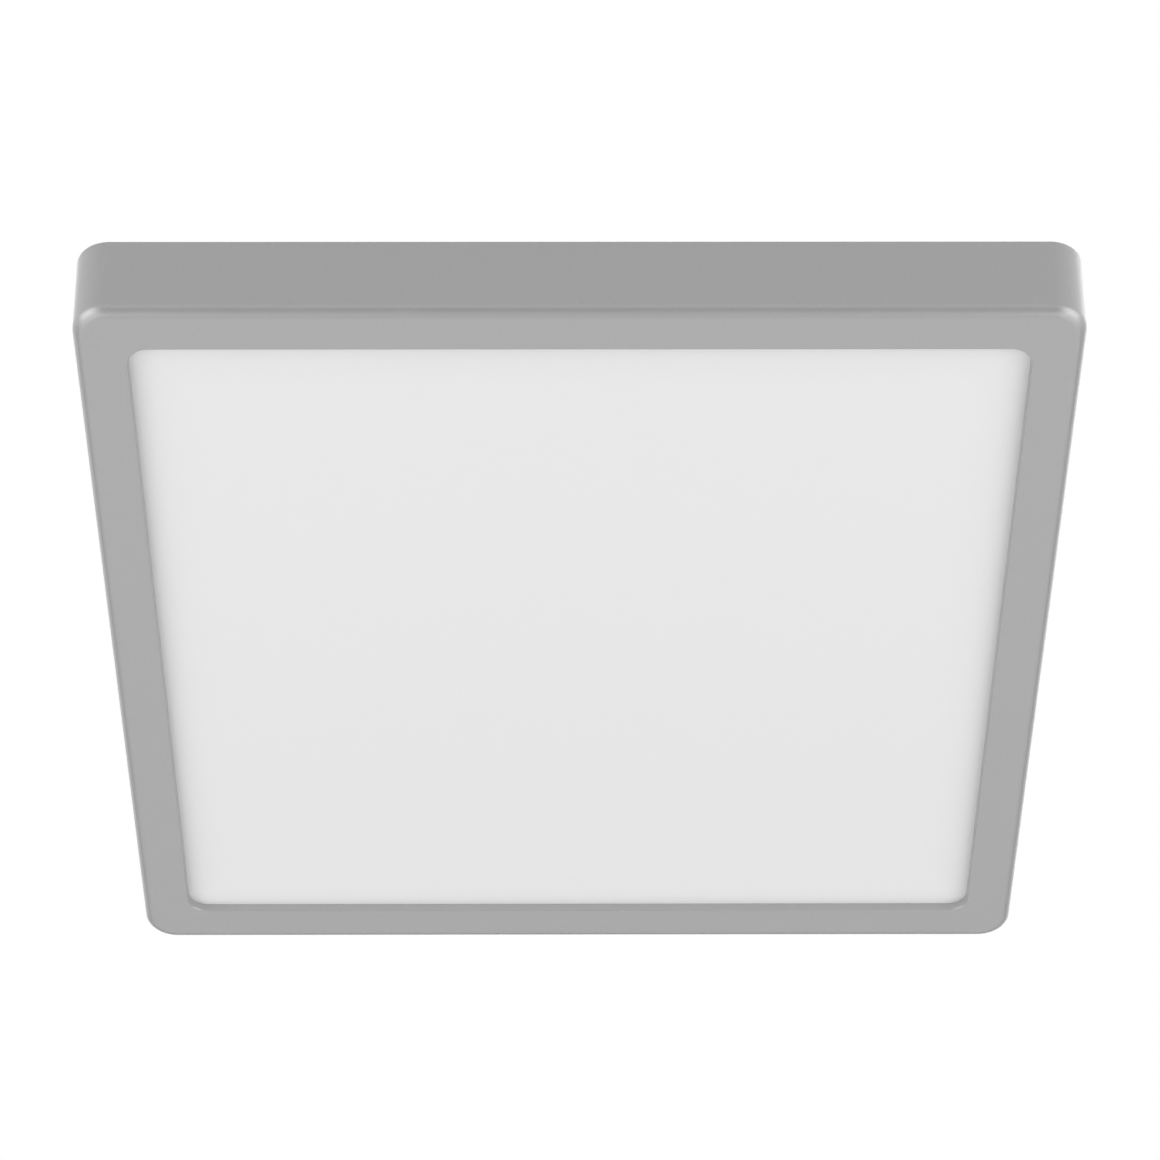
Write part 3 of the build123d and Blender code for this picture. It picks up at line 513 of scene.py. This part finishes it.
def opal_acrylic(name, colour, half):
    """Matt opal sheet, with painted shade: its colour darkens towards the edges, where the rim stands over
    it.
    """
    finish = Finish(name, 0.5, specular=0.4)
    axes = finish.node("ShaderNodeSeparateXYZ")
    finish.link(finish.place, axes.inputs["Vector"])
    far = []
    for axis in ("X", "Y"):
        reach = finish.node("ShaderNodeMath", operation="ABSOLUTE")
        finish.link(axes.outputs[axis], reach.inputs[0])
        far.append(reach.outputs["Value"])
    nearest = finish.node("ShaderNodeMath", operation="MAXIMUM")
    for place, output in enumerate(far):
        finish.link(output, nearest.inputs[place])
    # painted shade: over the last 16 mm to each edge the colour falls to 0.95 of itself, where the rim shades
    # the sheet
    painted_rim_shade = finish.span(nearest.outputs["Value"], 0.0, 1.0, half - 16.0 * MM, half)
    stops = ((0.0, colour), (0.5, scaled(colour, 0.985)), (1.0, scaled(colour, 0.95)))
    finish.colour(finish.tones(painted_rim_shade, *stops))
    finish.roughness(finish.noise(40.0), 0.47, 0.53)
    finish.relief(finish.noise(2200.0, 1.0), 0.01 * MM, 0.1)
    return finish.material


def clear_acrylic(name):
    """Light guide: clear sheet with its printed dots as a faint milkiness."""
    finish = Finish(name, 0.08)
    finish.shader.inputs["Transmission Weight"].default_value = 0.85
    dots = finish.cells(700.0)
    finish.colour(finish.tones(dots, (0.0, (0.9, 0.93, 0.93)), (1.0, (0.96, 0.97, 0.97))))
    return finish.material


def white_film(name):
    finish = Finish(name, 0.55)
    cloud = finish.noise(30.0)
    finish.colour(finish.tones(cloud, (0.3, (0.88, 0.88, 0.88)), (0.7, (0.92, 0.92, 0.92))))
    return finish.material


def zinc_coat(name, colour, spangle=160.0, roughness=(0.34, 0.5)):
    """Zinc-coated sheet with soft spangle and rolling marks."""
    finish = Finish(name, 0.4, metallic=0.9)
    patch = finish.cells(spangle)
    finish.colour(finish.tones(patch, (0.0, scaled(colour, 0.92)), (1.0, scaled(colour, 1.06))))
    finish.roughness(finish.noise(500.0, 3.0, (1.0, 0.06, 1.0)), *roughness)
    finish.relief(finish.noise(350.0), 0.02 * MM, 0.15)
    return finish.material


def spring_strip(name, colour):
    """Blued spring steel with drawn streaks."""
    finish = Finish(name, 0.35, metallic=1.0)
    streak = finish.noise(1400.0, 3.0, (1.0, 1.0, 0.08))
    finish.colour(finish.tones(streak, (0.3, scaled(colour, 0.93)), (0.7, scaled(colour, 1.06))))
    finish.roughness(finish.noise(300.0), 0.3, 0.36)
    return finish.material


def bright_zinc(name, colour):
    finish = Finish(name, 0.25, metallic=1.0)
    cloud = finish.noise(600.0, 3.0)
    finish.colour(finish.tones(cloud, (0.3, scaled(colour, 0.9)), (0.7, scaled(colour, 1.08))))
    finish.roughness(cloud, 0.2, 0.34)
    return finish.material


def moulding(name, colour, roughness=0.45, depth=0.03 * MM):
    """Moulded plastic with a fine eroded grain."""
    finish = Finish(name, roughness)
    grain = finish.noise(1600.0, 2.0)
    cloud = finish.noise(45.0)
    finish.colour(finish.tones(cloud, (0.3, scaled(colour, 0.97)), (0.7, scaled(colour, 1.02))))
    finish.roughness(grain, roughness - 0.05, roughness + 0.07)
    finish.relief(grain, depth, 0.25)
    return finish.material


def insulation(name, colour):
    """Extruded PVC: smooth, with a slight wave."""
    finish = Finish(name, 0.36)
    cloud = finish.noise(220.0, 2.0)
    finish.colour(finish.tones(cloud, (0.3, scaled(colour, 0.88)), (0.7, scaled(colour, 1.12))))
    finish.roughness(cloud, 0.32, 0.42)
    finish.relief(cloud, 0.02 * MM, 0.2)
    return finish.material


def striped_insulation(name, ground, stripe):
    """Earth wire: two coloured stripes along its length."""
    finish = Finish(name, 0.36)
    facing = finish.node("ShaderNodeNewGeometry")
    axes = finish.node("ShaderNodeSeparateXYZ")
    finish.link(facing.outputs["Normal"], axes.inputs["Vector"])
    upright = finish.node("ShaderNodeMath", operation="ABSOLUTE")
    finish.link(axes.outputs["Z"], upright.inputs[0])
    finish.colour(finish.tones(upright.outputs["Value"], (0.62, ground), (0.68, stripe)))
    finish.roughness(finish.noise(220.0), 0.32, 0.42)
    return finish.material


def moulded_rubber(name, colour):
    finish = Finish(name, 0.7, specular=0.35)
    bloom = finish.noise(120.0, 3.0)
    finish.colour(finish.tones(bloom, (0.3, scaled(colour, 0.8)), (0.75, scaled(colour, 1.6))))
    finish.roughness(bloom, 0.62, 0.78)
    finish.relief(finish.noise(1400.0), 0.03 * MM, 0.25)
    return finish.material


# ---------------------------------------------------------------- pieces


class CEILINGLIGHT_OT_stage(bpy.types.Operator):
    """Sets up the camera, the lamps, the background and the floor"""

    bl_idname = "ceiling_light.stage"
    bl_label = "Stage"

    def execute(self, context):
        studio = context.scene.ceiling_light_studio
        context.scene.view_settings.view_transform = "Standard"
        self.camera(context, studio)
        self.world(context, studio)
        for side, turn in (("left", -1), ("right", 1)):
            self.lamp(f"front_{side}_lamp", (1.16 * turn, -0.783, -0.26), 1.15, 1.15, studio.front)
            self.lamp(f"under_{side}_lamp", (1.332 * turn, -0.357, -1.379), 2.0, 2.0, studio.under)
        self.lamp("rear_lamp", (0.0, 1.32, -1.37), 3.4, 1.6, studio.rear)
        self.lamp("top_lamp", (0.17, 0.55, 1.1), 2.2, 2.2, studio.top)
        self.floor(studio)
        return {"FINISHED"}

    def camera(self, context, studio):
        back = Vector(
            (
                math.sin(studio.yaw) * math.cos(studio.pitch),
                -math.cos(studio.yaw) * math.cos(studio.pitch),
                -math.sin(studio.pitch),
            )
        )
        right = (-back).cross(Vector((0, 0, 1))).normalized()
        up = right.cross(-back)
        level = Matrix((right, up, back)).transposed()
        turn = level @ Matrix.Rotation(studio.roll, 3, "Z")
        data = bpy.data.cameras.new("camera")
        data.sensor_width = 36.0
        data.lens = studio.lens
        data.clip_start, data.clip_end = 0.05, 60.0
        camera = bpy.data.objects.new("camera", data)
        context.scene.collection.objects.link(camera)
        eye = Vector(studio.aim) + back * studio.distance
        camera.matrix_world = Matrix.Translation(eye) @ turn.to_4x4()
        context.scene.camera = camera

    def world(self, context, studio):
        world = bpy.data.worlds.new("studio")
        world.use_nodes = True
        tree = world.node_tree
        ambient = tree.nodes["Background"]
        ambient.inputs["Color"].default_value = (1.0, 1.0, 1.0, 1.0)
        ambient.inputs["Strength"].default_value = studio.ambient
        white = tree.nodes.new("ShaderNodeBackground")
        white.inputs["Color"].default_value = (1.0, 1.0, 1.0, 1.0)
        white.inputs["Strength"].default_value = 1.0
        # white in the picture, in what mirrors it and in what it shines through
        path = tree.nodes.new("ShaderNodeLightPath").outputs
        shown = path["Is Camera Ray"]
        for ray in ("Is Glossy Ray", "Is Transmission Ray"):
            either = tree.nodes.new("ShaderNodeMath")
            either.operation = "MAXIMUM"
            tree.links.new(shown, either.inputs[0])
            tree.links.new(path[ray], either.inputs[1])
            shown = either.outputs["Value"]
        mix = tree.nodes.new("ShaderNodeMixShader")
        tree.links.new(shown, mix.inputs["Fac"])
        tree.links.new(ambient.outputs["Background"], mix.inputs[1])
        tree.links.new(white.outputs["Background"], mix.inputs[2])
        tree.links.new(mix.outputs["Shader"], tree.nodes["World Output"].inputs["Surface"])
        context.scene.world = world

    def lamp(self, name, place, width, height, power):
        data = bpy.data.lights.new(name, "AREA")
        data.shape = "RECTANGLE"
        data.size = width
        data.size_y = height
        data.energy = power
        lamp = bpy.data.objects.new(name, data)
        bpy.context.scene.collection.objects.link(lamp)
        lamp.location = place
        lamp.rotation_mode = "QUATERNION"
        lamp.rotation_quaternion = (-Vector(place)).to_track_quat("-Z", "Y")
        lamp.visible_camera = False

    def floor(self, studio):
        bm = bmesh.new()
        reach, drop = 40.0, -studio.floor_drop
        corners = [(-reach, -reach, drop), (reach, -reach, drop), (reach, reach, drop), (-reach, reach, drop)]
        bm.faces.new([bm.verts.new(corner) for corner in corners])
        floor = new_piece("floor", bm)
        finish = Finish("pale_floor", 0.8, specular=0.2)
        cloud = finish.noise(3.0)
        finish.colour(finish.tones(cloud, (0.3, (0.8, 0.8, 0.8)), (0.7, (0.82, 0.82, 0.82))))
        pale = finish.node("ShaderNodeMath", operation="MULTIPLY")
        pale.inputs[1].default_value = studio.floor_tone
        finish.link(finish.node("ShaderNodeLightPath").outputs["Is Camera Ray"], pale.inputs[0])
        finish.shader.inputs["Emission Color"].default_value = (1.0, 1.0, 1.0, 1.0)
        finish.link(pale.outputs["Value"], finish.shader.inputs["Emission Strength"])
        floor.data.materials.append(finish.material)


class CEILINGLIGHT_OT_casing(bpy.types.Operator):
    """Builds the moulded casing with its ribs, bosses and catches"""

    bl_idname = "ceiling_light.casing"
    bl_label = "Casing"

    def execute(self, context):
        sizes = context.scene.ceiling_light_casing
        finish = satin_lacquer("casing_lacquer", context.scene.ceiling_light_colours.casing)
        fit(self.shell(sizes), "light", "casing_grey", finish, "frame")
        fit(self.ribs(sizes), "light", "casing_grey", finish, "frame")
        fit(self.bosses(sizes), "light", "casing_grey", finish, "frame")
        return {"FINISHED"}

    def shell(self, sizes):
        slope = math.tan(sizes.draft)
        lean = math.cos(sizes.draft)
        draft = math.degrees(sizes.draft)
        half, inner_half = sizes.side / 2, sizes.side / 2 - sizes.wall
        opening = half - sizes.rim_width
        rim, inside = -sizes.height, -sizes.height + sizes.wall
        diffuser = DIFFUSER_LOW.z
        support = 0.3 * MM  # rings just off each rounding, to keep the flats flat
        rings = []

        def ring(out, level, wall, radius):
            """Ring inside a wall line whose corners have the given radius."""
            rings.append(square_ring(out, radius - (wall - out), level))

        def arc(out, level, radius, start, end, steps, wall, corner):
            for step in range(steps + 1):
                angle = math.radians(start) + math.radians(end - start) * step / steps
                ring(out + radius * math.cos(angle), level + radius * math.sin(angle), wall, corner)

        corner = sizes.corner_radius
        # ceiling edge, then down the outside of the wall
        top = 0.4 * MM
        ring(inner_half, 0.0, half, corner)
        arc(half - top * slope - top / lean, -top, top, 90, -draft, 5, half, corner)
        ring(half - 3 * top * slope, -3 * top, half - 3 * top * slope, corner)
        bend = rim + sizes.edge_radius
        ring(half + (bend + support) * slope, bend + support, half + (bend + support) * slope, corner)
        # edge rounding and rim face
        wall = half + bend * slope
        middle = wall - sizes.edge_radius / lean
        arc(middle, bend, sizes.edge_radius, -draft, -90, 14, wall, corner)
        ring(middle - support, rim, wall, corner)
        edge, corner = sizes.opening_edge, sizes.opening_radius
        ring(opening + edge + support, rim, opening, corner)
        arc(opening + edge, rim + edge, edge, -90, -180, 6, opening, corner)
        # lip that carries the diffuser
        ease = 0.15 * MM
        ring(opening, diffuser - ease, opening, corner)
        ring(opening + ease, diffuser, opening, corner)
        ring(opening + sizes.lip_wall - ease, diffuser, opening, corner)
        ring(opening + sizes.lip_wall, diffuser - ease, opening, corner)
        ring(opening + sizes.lip_wall, inside, opening, corner)
        # inside of the rim and of the wall
        corner = sizes.corner_radius - sizes.wall
        turn = sizes.edge_radius - sizes.wall
        wall = inner_half + (inside + turn) * slope
        arc(wall - turn / lean, inside + turn, turn, -90, -draft, 6, wall, corner)
        bm = bmesh.new()
        skin(bm, rings, closed=True)
        return new_piece("casing", bm)

    def ribs(self, sizes):
        slope = math.tan(sizes.draft)
        inside = -sizes.height + sizes.wall
        wall = sizes.side / 2 - sizes.wall
        foot = wall - sizes.height * slope
        low, root = inside - ROOT, foot + ROOT
        inner, high = DIFFUSER_HIGH.x + SEAT_GAP, DIFFUSER_LOW.z + 0.8 * MM
        holder = [(inner, low), (root, low), (root, high), (inner, high)]
        depth, top = 2.0 * MM, -1.5 * MM
        stiffener = [
            (root, low),
            (foot - depth, low),
            (wall - depth, top - depth),
            (wall, top),
            (wall + ROOT, top),
        ]
        # catch for a spring clip, with a lead-in above and a slope of 30 degrees below
        reach, drop, land = 2.2 * MM, -5.3 * MM, 0.6 * MM
        tip, rise = wall - reach, reach + ROOT
        catch = [
            (wall + ROOT, drop + land + rise),
            (tip, drop + land),
            (tip, drop),
            (wall + ROOT, drop - rise * math.tan(math.radians(30))),
        ]
        bm = bmesh.new()
        for angle in SIDES.values():
            for along in OPTICS_RIBS:
                slab(bm, holder, angle, along * MM, 1.6 * MM, 0.2 * MM)
            for along in WALL_RIBS:
                slab(bm, stiffener, angle, along * MM, 1.4 * MM, 0.15 * MM)
            slab(bm, catch, angle, 0.0, 30.0 * MM, 0.15 * MM)
        return new_piece("casing_ribs", bm)

    def bosses(self, sizes):
        slope = math.tan(sizes.draft)
        foot = sizes.side / 2 - sizes.wall - sizes.height * slope
        axis = foot - 3.6 * MM
        low = -sizes.height + sizes.wall - ROOT
        top = PLATE_HIGH.z - PAD_RISE - PLATE_SHEET
        hole = SCREWS_LOW.z - SEAT_GAP
        bore, outer, ease = 1.5 * MM, 3.0 * MM, 0.3 * MM
        outline = [
            (0.0, hole),
            (bore, hole),
            (bore, top - ease),
            (bore + ease, top),
            (outer - ease, top),
            (outer, top - ease),
            (outer, low),
            (0.0, low),
        ]
        inner, root = axis + 2.5 * MM, foot + ROOT
        web = [(inner, low), (root, low), (root, top), (inner, top)]
        bm = bmesh.new()
        for angle in SIDES.values():
            for along in BOSSES:
                spot = on_side(angle, axis, along * MM, 0.0)
                turned(bm, outline, (spot.x, spot.y))
                slab(bm, web, angle, along * MM, 1.6 * MM, 0.15 * MM)
        return new_piece("casing_bosses", bm)


class CEILINGLIGHT_OT_optics(bpy.types.Operator):
    """Builds the opal diffuser and finishes the light guide and reflector"""

    bl_idname = "ceiling_light.optics"
    bl_label = "Diffuser and light guide"

    def execute(self, context):
        casing = context.scene.ceiling_light_casing
        colours = context.scene.ceiling_light_colours
        half, low, high = DIFFUSER_HIGH.x, DIFFUSER_LOW.z, DIFFUSER_HIGH.z
        edge, radius = 0.3 * MM, casing.opening_radius
        bm = bmesh.new()
        sections = [
            (2 * edge, low),
            (edge, low),
            (0.3 * edge, low + 0.3 * edge),
            (0.0, low + edge),
            (0.0, high - edge),
            (0.3 * edge, high - 0.3 * edge),
            (edge, high),
            (2 * edge, high),
        ]
        skin(bm, [square_ring(half - inset, radius - inset, level) for inset, level in sections], caps=True)
        opening = casing.side / 2 - casing.rim_width
        finish = opal_acrylic("opal_acrylic", colours.diffuser, opening)
        fit(new_piece("opal_diffuser", bm, 50), "light", "opal_white", finish, "diffuser")
        coat(clear_acrylic("clear_acrylic"), "light_guide")
        coat(white_film("reflector_film"), "reflector")
        return {"FINISHED"}


class CEILINGLIGHT_OT_led_strips(bpy.types.Operator):
    """Finishes the LED strips, their LEDs and links, and builds the plug"""

    bl_idname = "ceiling_light.led_strips"
    bl_label = "LED strips"

    def execute(self, context):
        mask = moulding("strip_solder_mask", (0.88, 0.88, 0.87), 0.4, 0.01 * MM)
        phosphor = moulding("led_phosphor", (0.93, 0.78, 0.28), 0.5)
        for side in SIDES:
            coat(mask, f"led_strip_{side}")
            coat(phosphor, f"leds_{side}")
        coat(insulation("link_film", (0.75, 0.42, 0.1)), "strip_links")
        plug = moulding("plug_nylon", context.scene.ceiling_light_colours.moulding, 0.4)
        fit(eased("plug", "strip_plug", 0.1 * MM), "light", "plug_white", plug, "strip_plug")
        return {"FINISHED"}


def cross_screw(head, rise, thread, length):
    """Pan-head screw with a cross recess, its seat at level 0."""
    bm = bmesh.new()
    outline = [(0.0, -length), (thread / 2 - 0.5 * MM, -length)]
    pitch = 0.7 * MM
    turns = int((length - 0.4 * MM) / pitch)
    for turn in range(turns):
        level = -length + 0.3 * MM + turn * pitch
        outline.append((thread / 2 - 0.25 * MM, level))
        outline.append((thread / 2, level + pitch / 2))
    outline += [(thread / 2 - 0.1 * MM, 0.0), (head / 2 - 0.1 * MM, 0.0), (head / 2, 0.1 * MM)]
    side = 0.3 * rise
    for step in range(9):
        angle = math.radians(90) * step / 8
        outline.append((head / 2 * math.cos(angle), side + (rise - side) * math.sin(angle)))
    outline[-1] = (0.0, rise)
    turned(bm, outline)
    screw = new_piece("screw", bm)
    bm = bmesh.new()
    rings = []
    for share, level in ((0.45, rise - 1.1 * MM), (1.0, rise - 0.35 * MM), (1.1, rise + 0.2 * MM)):
        arm, half = 0.31 * head * share, 0.5 * MM * (0.5 + share / 2)
        corner = [(arm, -half), (arm, half), (half, half)]
        ring = []
        for quarter in range(4):
            turn = Matrix.Rotation(math.radians(90 * quarter), 2)
            ring += [Vector((*(turn @ Vector(point)), level)) for point in corner]
        rings.append(ring)
    skin(bm, rings, caps=True)
    cutter = new_piece("recess", bm)
    recess = screw.modifiers.new("recess", "BOOLEAN")
    recess.operation = "DIFFERENCE"
    recess.solver = "EXACT"
    recess.object = cutter
    settle(screw)
    bpy.data.objects.remove(cutter)
    return screw


def screws(context, name, node, size):
    """One piece with a screw at each place of a node, its recess turned as it was driven."""
    head, rise, thread = size
    low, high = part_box(node)
    seat = high.z - rise
    pattern = cross_screw(head, rise, thread, seat - low.z)
    bm = bmesh.new()
    for i, (x, y) in enumerate(node_spots(node)):
        before = len(bm.verts)
        bm.from_mesh(pattern.data)
        bm.verts.ensure_lookup_table()
        turn = Matrix.Translation((x, y, seat)) @ Matrix.Rotation(math.radians(17 + 41 * i), 4, "Z")
        bmesh.ops.transform(bm, matrix=turn, verts=bm.verts[before:])
    bpy.data.objects.remove(pattern)
    finish = bpy.data.materials.get("screw_zinc")
    if finish is None:
        finish = bright_zinc("screw_zinc", context.scene.ceiling_light_colours.bright)
    return fit(new_piece(name, bm, 40), "light", "screw_steel", finish, node)


def node_spots(node):
    """Middle of each separate body in a solid, seen from above."""
    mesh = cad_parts[node].data
    bm = bmesh.new()
    bm.from_mesh(mesh)
    bmesh.ops.remove_doubles(bm, verts=bm.verts, dist=MERGE)
    left, spots = set(bm.verts), []
    while left:
        group, queue = set(), [next(iter(left))]
        while queue:
            vert = queue.pop()
            if vert in group:
                continue
            group.add(vert)
            queue += [edge.other_vert(vert) for edge in vert.link_edges]
        left -= group
        xs, ys = [v.co.x for v in group], [v.co.y for v in group]
        spots.append(((min(xs) + max(xs)) / 2, (min(ys) + max(ys)) / 2))
    bm.free()
    return sorted((round(x, 6), round(y, 6)) for x, y in spots)


class CEILINGLIGHT_OT_back_plate(bpy.types.Operator):
    """Builds the stamped back plate and its screws"""

    bl_idname = "ceiling_light.back_plate"
    bl_label = "Back plate"

    def execute(self, context):
        colours = context.scene.ceiling_light_colours
        steel = zinc_coat("plate_zinc", colours.steel)
        fit(eased("stamped_plate", "back_plate", 0.05 * MM), "light", "zinc_steel", steel, "back_plate")
        screws(context, "plate_screws", "back_plate_screws", PAN_SCREW)
        return {"FINISHED"}


class CEILINGLIGHT_OT_driver(bpy.types.Operator):
    """Finishes the driver, its cover and its board, and builds its screws"""

    bl_idname = "ceiling_light.driver"
    bl_label = "Driver"

    def execute(self, context):
        colours = context.scene.ceiling_light_colours
        white = moulding("driver_moulding", colours.moulding, 0.5, 0.05 * MM)
        coat(white, "driver_case", "driver_cover")
        coat(moulding("board_mask", (0.05, 0.25, 0.1), 0.35), "driver_board")
        coat(moulding("ferrite", (0.08, 0.08, 0.09), 0.6), "driver_transformer")
        coat(insulation("capacitor_sleeve", (0.04, 0.05, 0.09)), "driver_capacitors")
        coat(moulding("film_box", (0.75, 0.55, 0.1), 0.4), "driver_filter")
        screws(context, "driver_case_screws", "driver_screws", PAN_SCREW)
        return {"FINISHED"}


class CEILINGLIGHT_OT_terminal_block(bpy.types.Operator):
    """Builds the terminal block with its base, buttons and screws, and finishes its contacts"""

    bl_idname = "ceiling_light.terminal_block"
    bl_label = "Terminal block"

    def execute(self, context):
        colours = context.scene.ceiling_light_colours
        white = moulding("terminal_moulding", scaled(colours.moulding, 1.02), 0.42)
        for name, node in (("terminal_foot", "terminal_base"), ("terminal_housing", "terminal_block")):
            fit(eased(name, node, 0.1 * MM), "light", "terminal_white", white, node)
        coat(bright_zinc("contact_brass", (0.75, 0.6, 0.3)), "terminal_contacts")
        buttons = {
            "live": ("button_grey", (0.2, 0.2, 0.21)),
            "neutral": ("button_blue", (0.07, 0.2, 0.55)),
            "earth": ("button_green", (0.1, 0.45, 0.15)),
        }
        for pole, (slot, colour) in buttons.items():
            finish = moulding(f"{pole}_button", colour, 0.3, 0.01 * MM)
            node = f"release_button_{pole}"
            fit(eased(f"button_{pole}", node, 0.1 * MM), f"{pole}_button", slot, finish, node)
        screws(context, "terminal_ear_screws", "terminal_screws", PAN_SCREW)
        return {"FINISHED"}


class CEILINGLIGHT_OT_wiring(bpy.types.Operator):
    """Finishes the wires, the earth tag and the saddles, and builds the earth screw"""

    bl_idname = "ceiling_light.wiring"
    bl_label = "Wiring"

    def execute(self, context):
        colours = context.scene.ceiling_light_colours
        wires = {
            "live": "live_wire",
            "neutral": "neutral_wire",
            "positive": "output_wire_positive",
            "negative": "output_wire_negative",
        }
        for pole, node in wires.items():
            coat(insulation(f"{pole}_insulation", getattr(colours, pole)), node)
        coat(striped_insulation("earth_insulation", colours.earth, colours.earth_stripe), "earth_wire")
        coat(bright_zinc("tag_tin", (0.72, 0.72, 0.7)), "earth_tag")
        coat(moulding("saddle_nylon", (0.8, 0.8, 0.78), 0.4), "wire_saddles")
        screws(context, "earth_tag_screw", "earth_screw", EARTH_SCREW)
        return {"FINISHED"}


class CEILINGLIGHT_OT_bracket(bpy.types.Operator):
    """Finishes the ceiling bracket and builds its cable grommet"""

    bl_idname = "ceiling_light.bracket"
    bl_label = "Ceiling bracket"

    def execute(self, context):
        colours = context.scene.ceiling_light_colours
        steel = zinc_coat("bracket_zinc", scaled(colours.steel, 1.05), 120.0)
        coat(steel, "ceiling_bracket")
        bm = bmesh.new()
        turned(bm, self.grommet_outline())
        rubber = moulded_rubber("grommet_rubber", (0.04, 0.04, 0.04))
        fit(new_piece("grommet", bm), "bracket", "grommet_rubber", rubber, "cable_grommet")
        return {"FINISHED"}

    def grommet_outline(self):
        bore, lip, neck, nose = 4.5 * MM, GROMMET_HIGH.x, 7.9 * MM, 6.5 * MM
        top, bottom = GROMMET_HIGH.z, GROMMET_LOW.z
        upper, lower = -2.6 * MM, -3.8 * MM
        under = lower - 1.4 * MM
        small, large = 0.2 * MM, 0.55 * MM
        corners = [
            (bore, top, large),
            (lip, top, large),
            (lip, upper, small),
            (neck, upper, small),
            (neck, lower, small),
            (lip, lower, small),
            (lip, under, large),
            (nose, under, large),
            (nose, bottom, large),
            (bore, bottom, large),
        ]
        return rounded(corners)


class CEILINGLIGHT_OT_spring_clips(bpy.types.Operator):
    """Builds the four spring clips and their rivets"""

    bl_idname = "ceiling_light.spring_clips"
    bl_label = "Spring clips"

    def execute(self, context):
        colours = context.scene.ceiling_light_colours
        spring = spring_strip("spring_strip", colours.spring)
        for side in SIDES:
            node = f"spring_clip_{side}"
            fit(eased(f"clip_{side}", node, 0.08 * MM), "bracket", "spring_steel", spring, node)
        head, shank, edge, height = 2.2 * MM, 1.2 * MM, 0.1 * MM, 0.8 * MM
        upper, lower = RIVETS_HIGH.z - height, RIVETS_LOW.z + height
        dome = []
        for step in range(7):
            angle = math.radians(90) * step / 6
            dome.append((head * math.cos(angle), edge + (height - edge) * math.sin(angle)))
        dome[-1] = (0.0, height)
        foot = [(radius, lower - rise) for radius, rise in reversed(dome)]
        crown = [(radius, upper + rise) for radius, rise in dome]
        outline = foot + [(head, lower), (shank, lower), (shank, upper), (head, upper)] + crown
        bm = bmesh.new()
        for spot in node_spots("clip_rivets"):
            turned(bm, outline, spot)
        finish = bright_zinc("rivet_zinc", scaled(colours.bright, 0.97))
        fit(new_piece("rivets", bm), "bracket", "rivet_steel", finish, "clip_rivets")
        return {"FINISHED"}


# ---------------------------------------------------------------- add-on


class CEILINGLIGHT_PT_panel(bpy.types.Panel):
    """Lists the pieces of the ceiling light"""

    bl_idname = "CEILINGLIGHT_PT_panel"
    bl_label = "Ceiling light"
    bl_space_type = "VIEW_3D"
    bl_region_type = "UI"
    bl_category = "Ceiling light"

    def draw(self, context):
        for operator in OPERATORS:
            self.layout.operator(operator.bl_idname)


OPERATORS = (
    CEILINGLIGHT_OT_stage,
    CEILINGLIGHT_OT_casing,
    CEILINGLIGHT_OT_optics,
    CEILINGLIGHT_OT_led_strips,
    CEILINGLIGHT_OT_back_plate,
    CEILINGLIGHT_OT_driver,
    CEILINGLIGHT_OT_terminal_block,
    CEILINGLIGHT_OT_wiring,
    CEILINGLIGHT_OT_bracket,
    CEILINGLIGHT_OT_spring_clips,
)
CLASSES = (CasingSizes, FinishColours, StudioSettings, *OPERATORS, CEILINGLIGHT_PT_panel)


def register():
    for cls in CLASSES:
        bpy.utils.register_class(cls)
    bpy.types.Scene.ceiling_light_casing = PointerProperty(type=CasingSizes)
    bpy.types.Scene.ceiling_light_colours = PointerProperty(type=FinishColours)
    bpy.types.Scene.ceiling_light_studio = PointerProperty(type=StudioSettings)


def unregister():
    del bpy.types.Scene.ceiling_light_studio
    del bpy.types.Scene.ceiling_light_colours
    del bpy.types.Scene.ceiling_light_casing
    for cls in reversed(CLASSES):
        bpy.utils.unregister_class(cls)


def main():
    register()
    bpy.ops.ceiling_light.stage()
    bpy.ops.ceiling_light.casing()
    bpy.ops.ceiling_light.optics()
    bpy.ops.ceiling_light.led_strips()
    bpy.ops.ceiling_light.back_plate()
    bpy.ops.ceiling_light.driver()
    bpy.ops.ceiling_light.terminal_block()
    bpy.ops.ceiling_light.wiring()
    bpy.ops.ceiling_light.bracket()
    bpy.ops.ceiling_light.spring_clips()


if __name__ == "__main__":
    main()
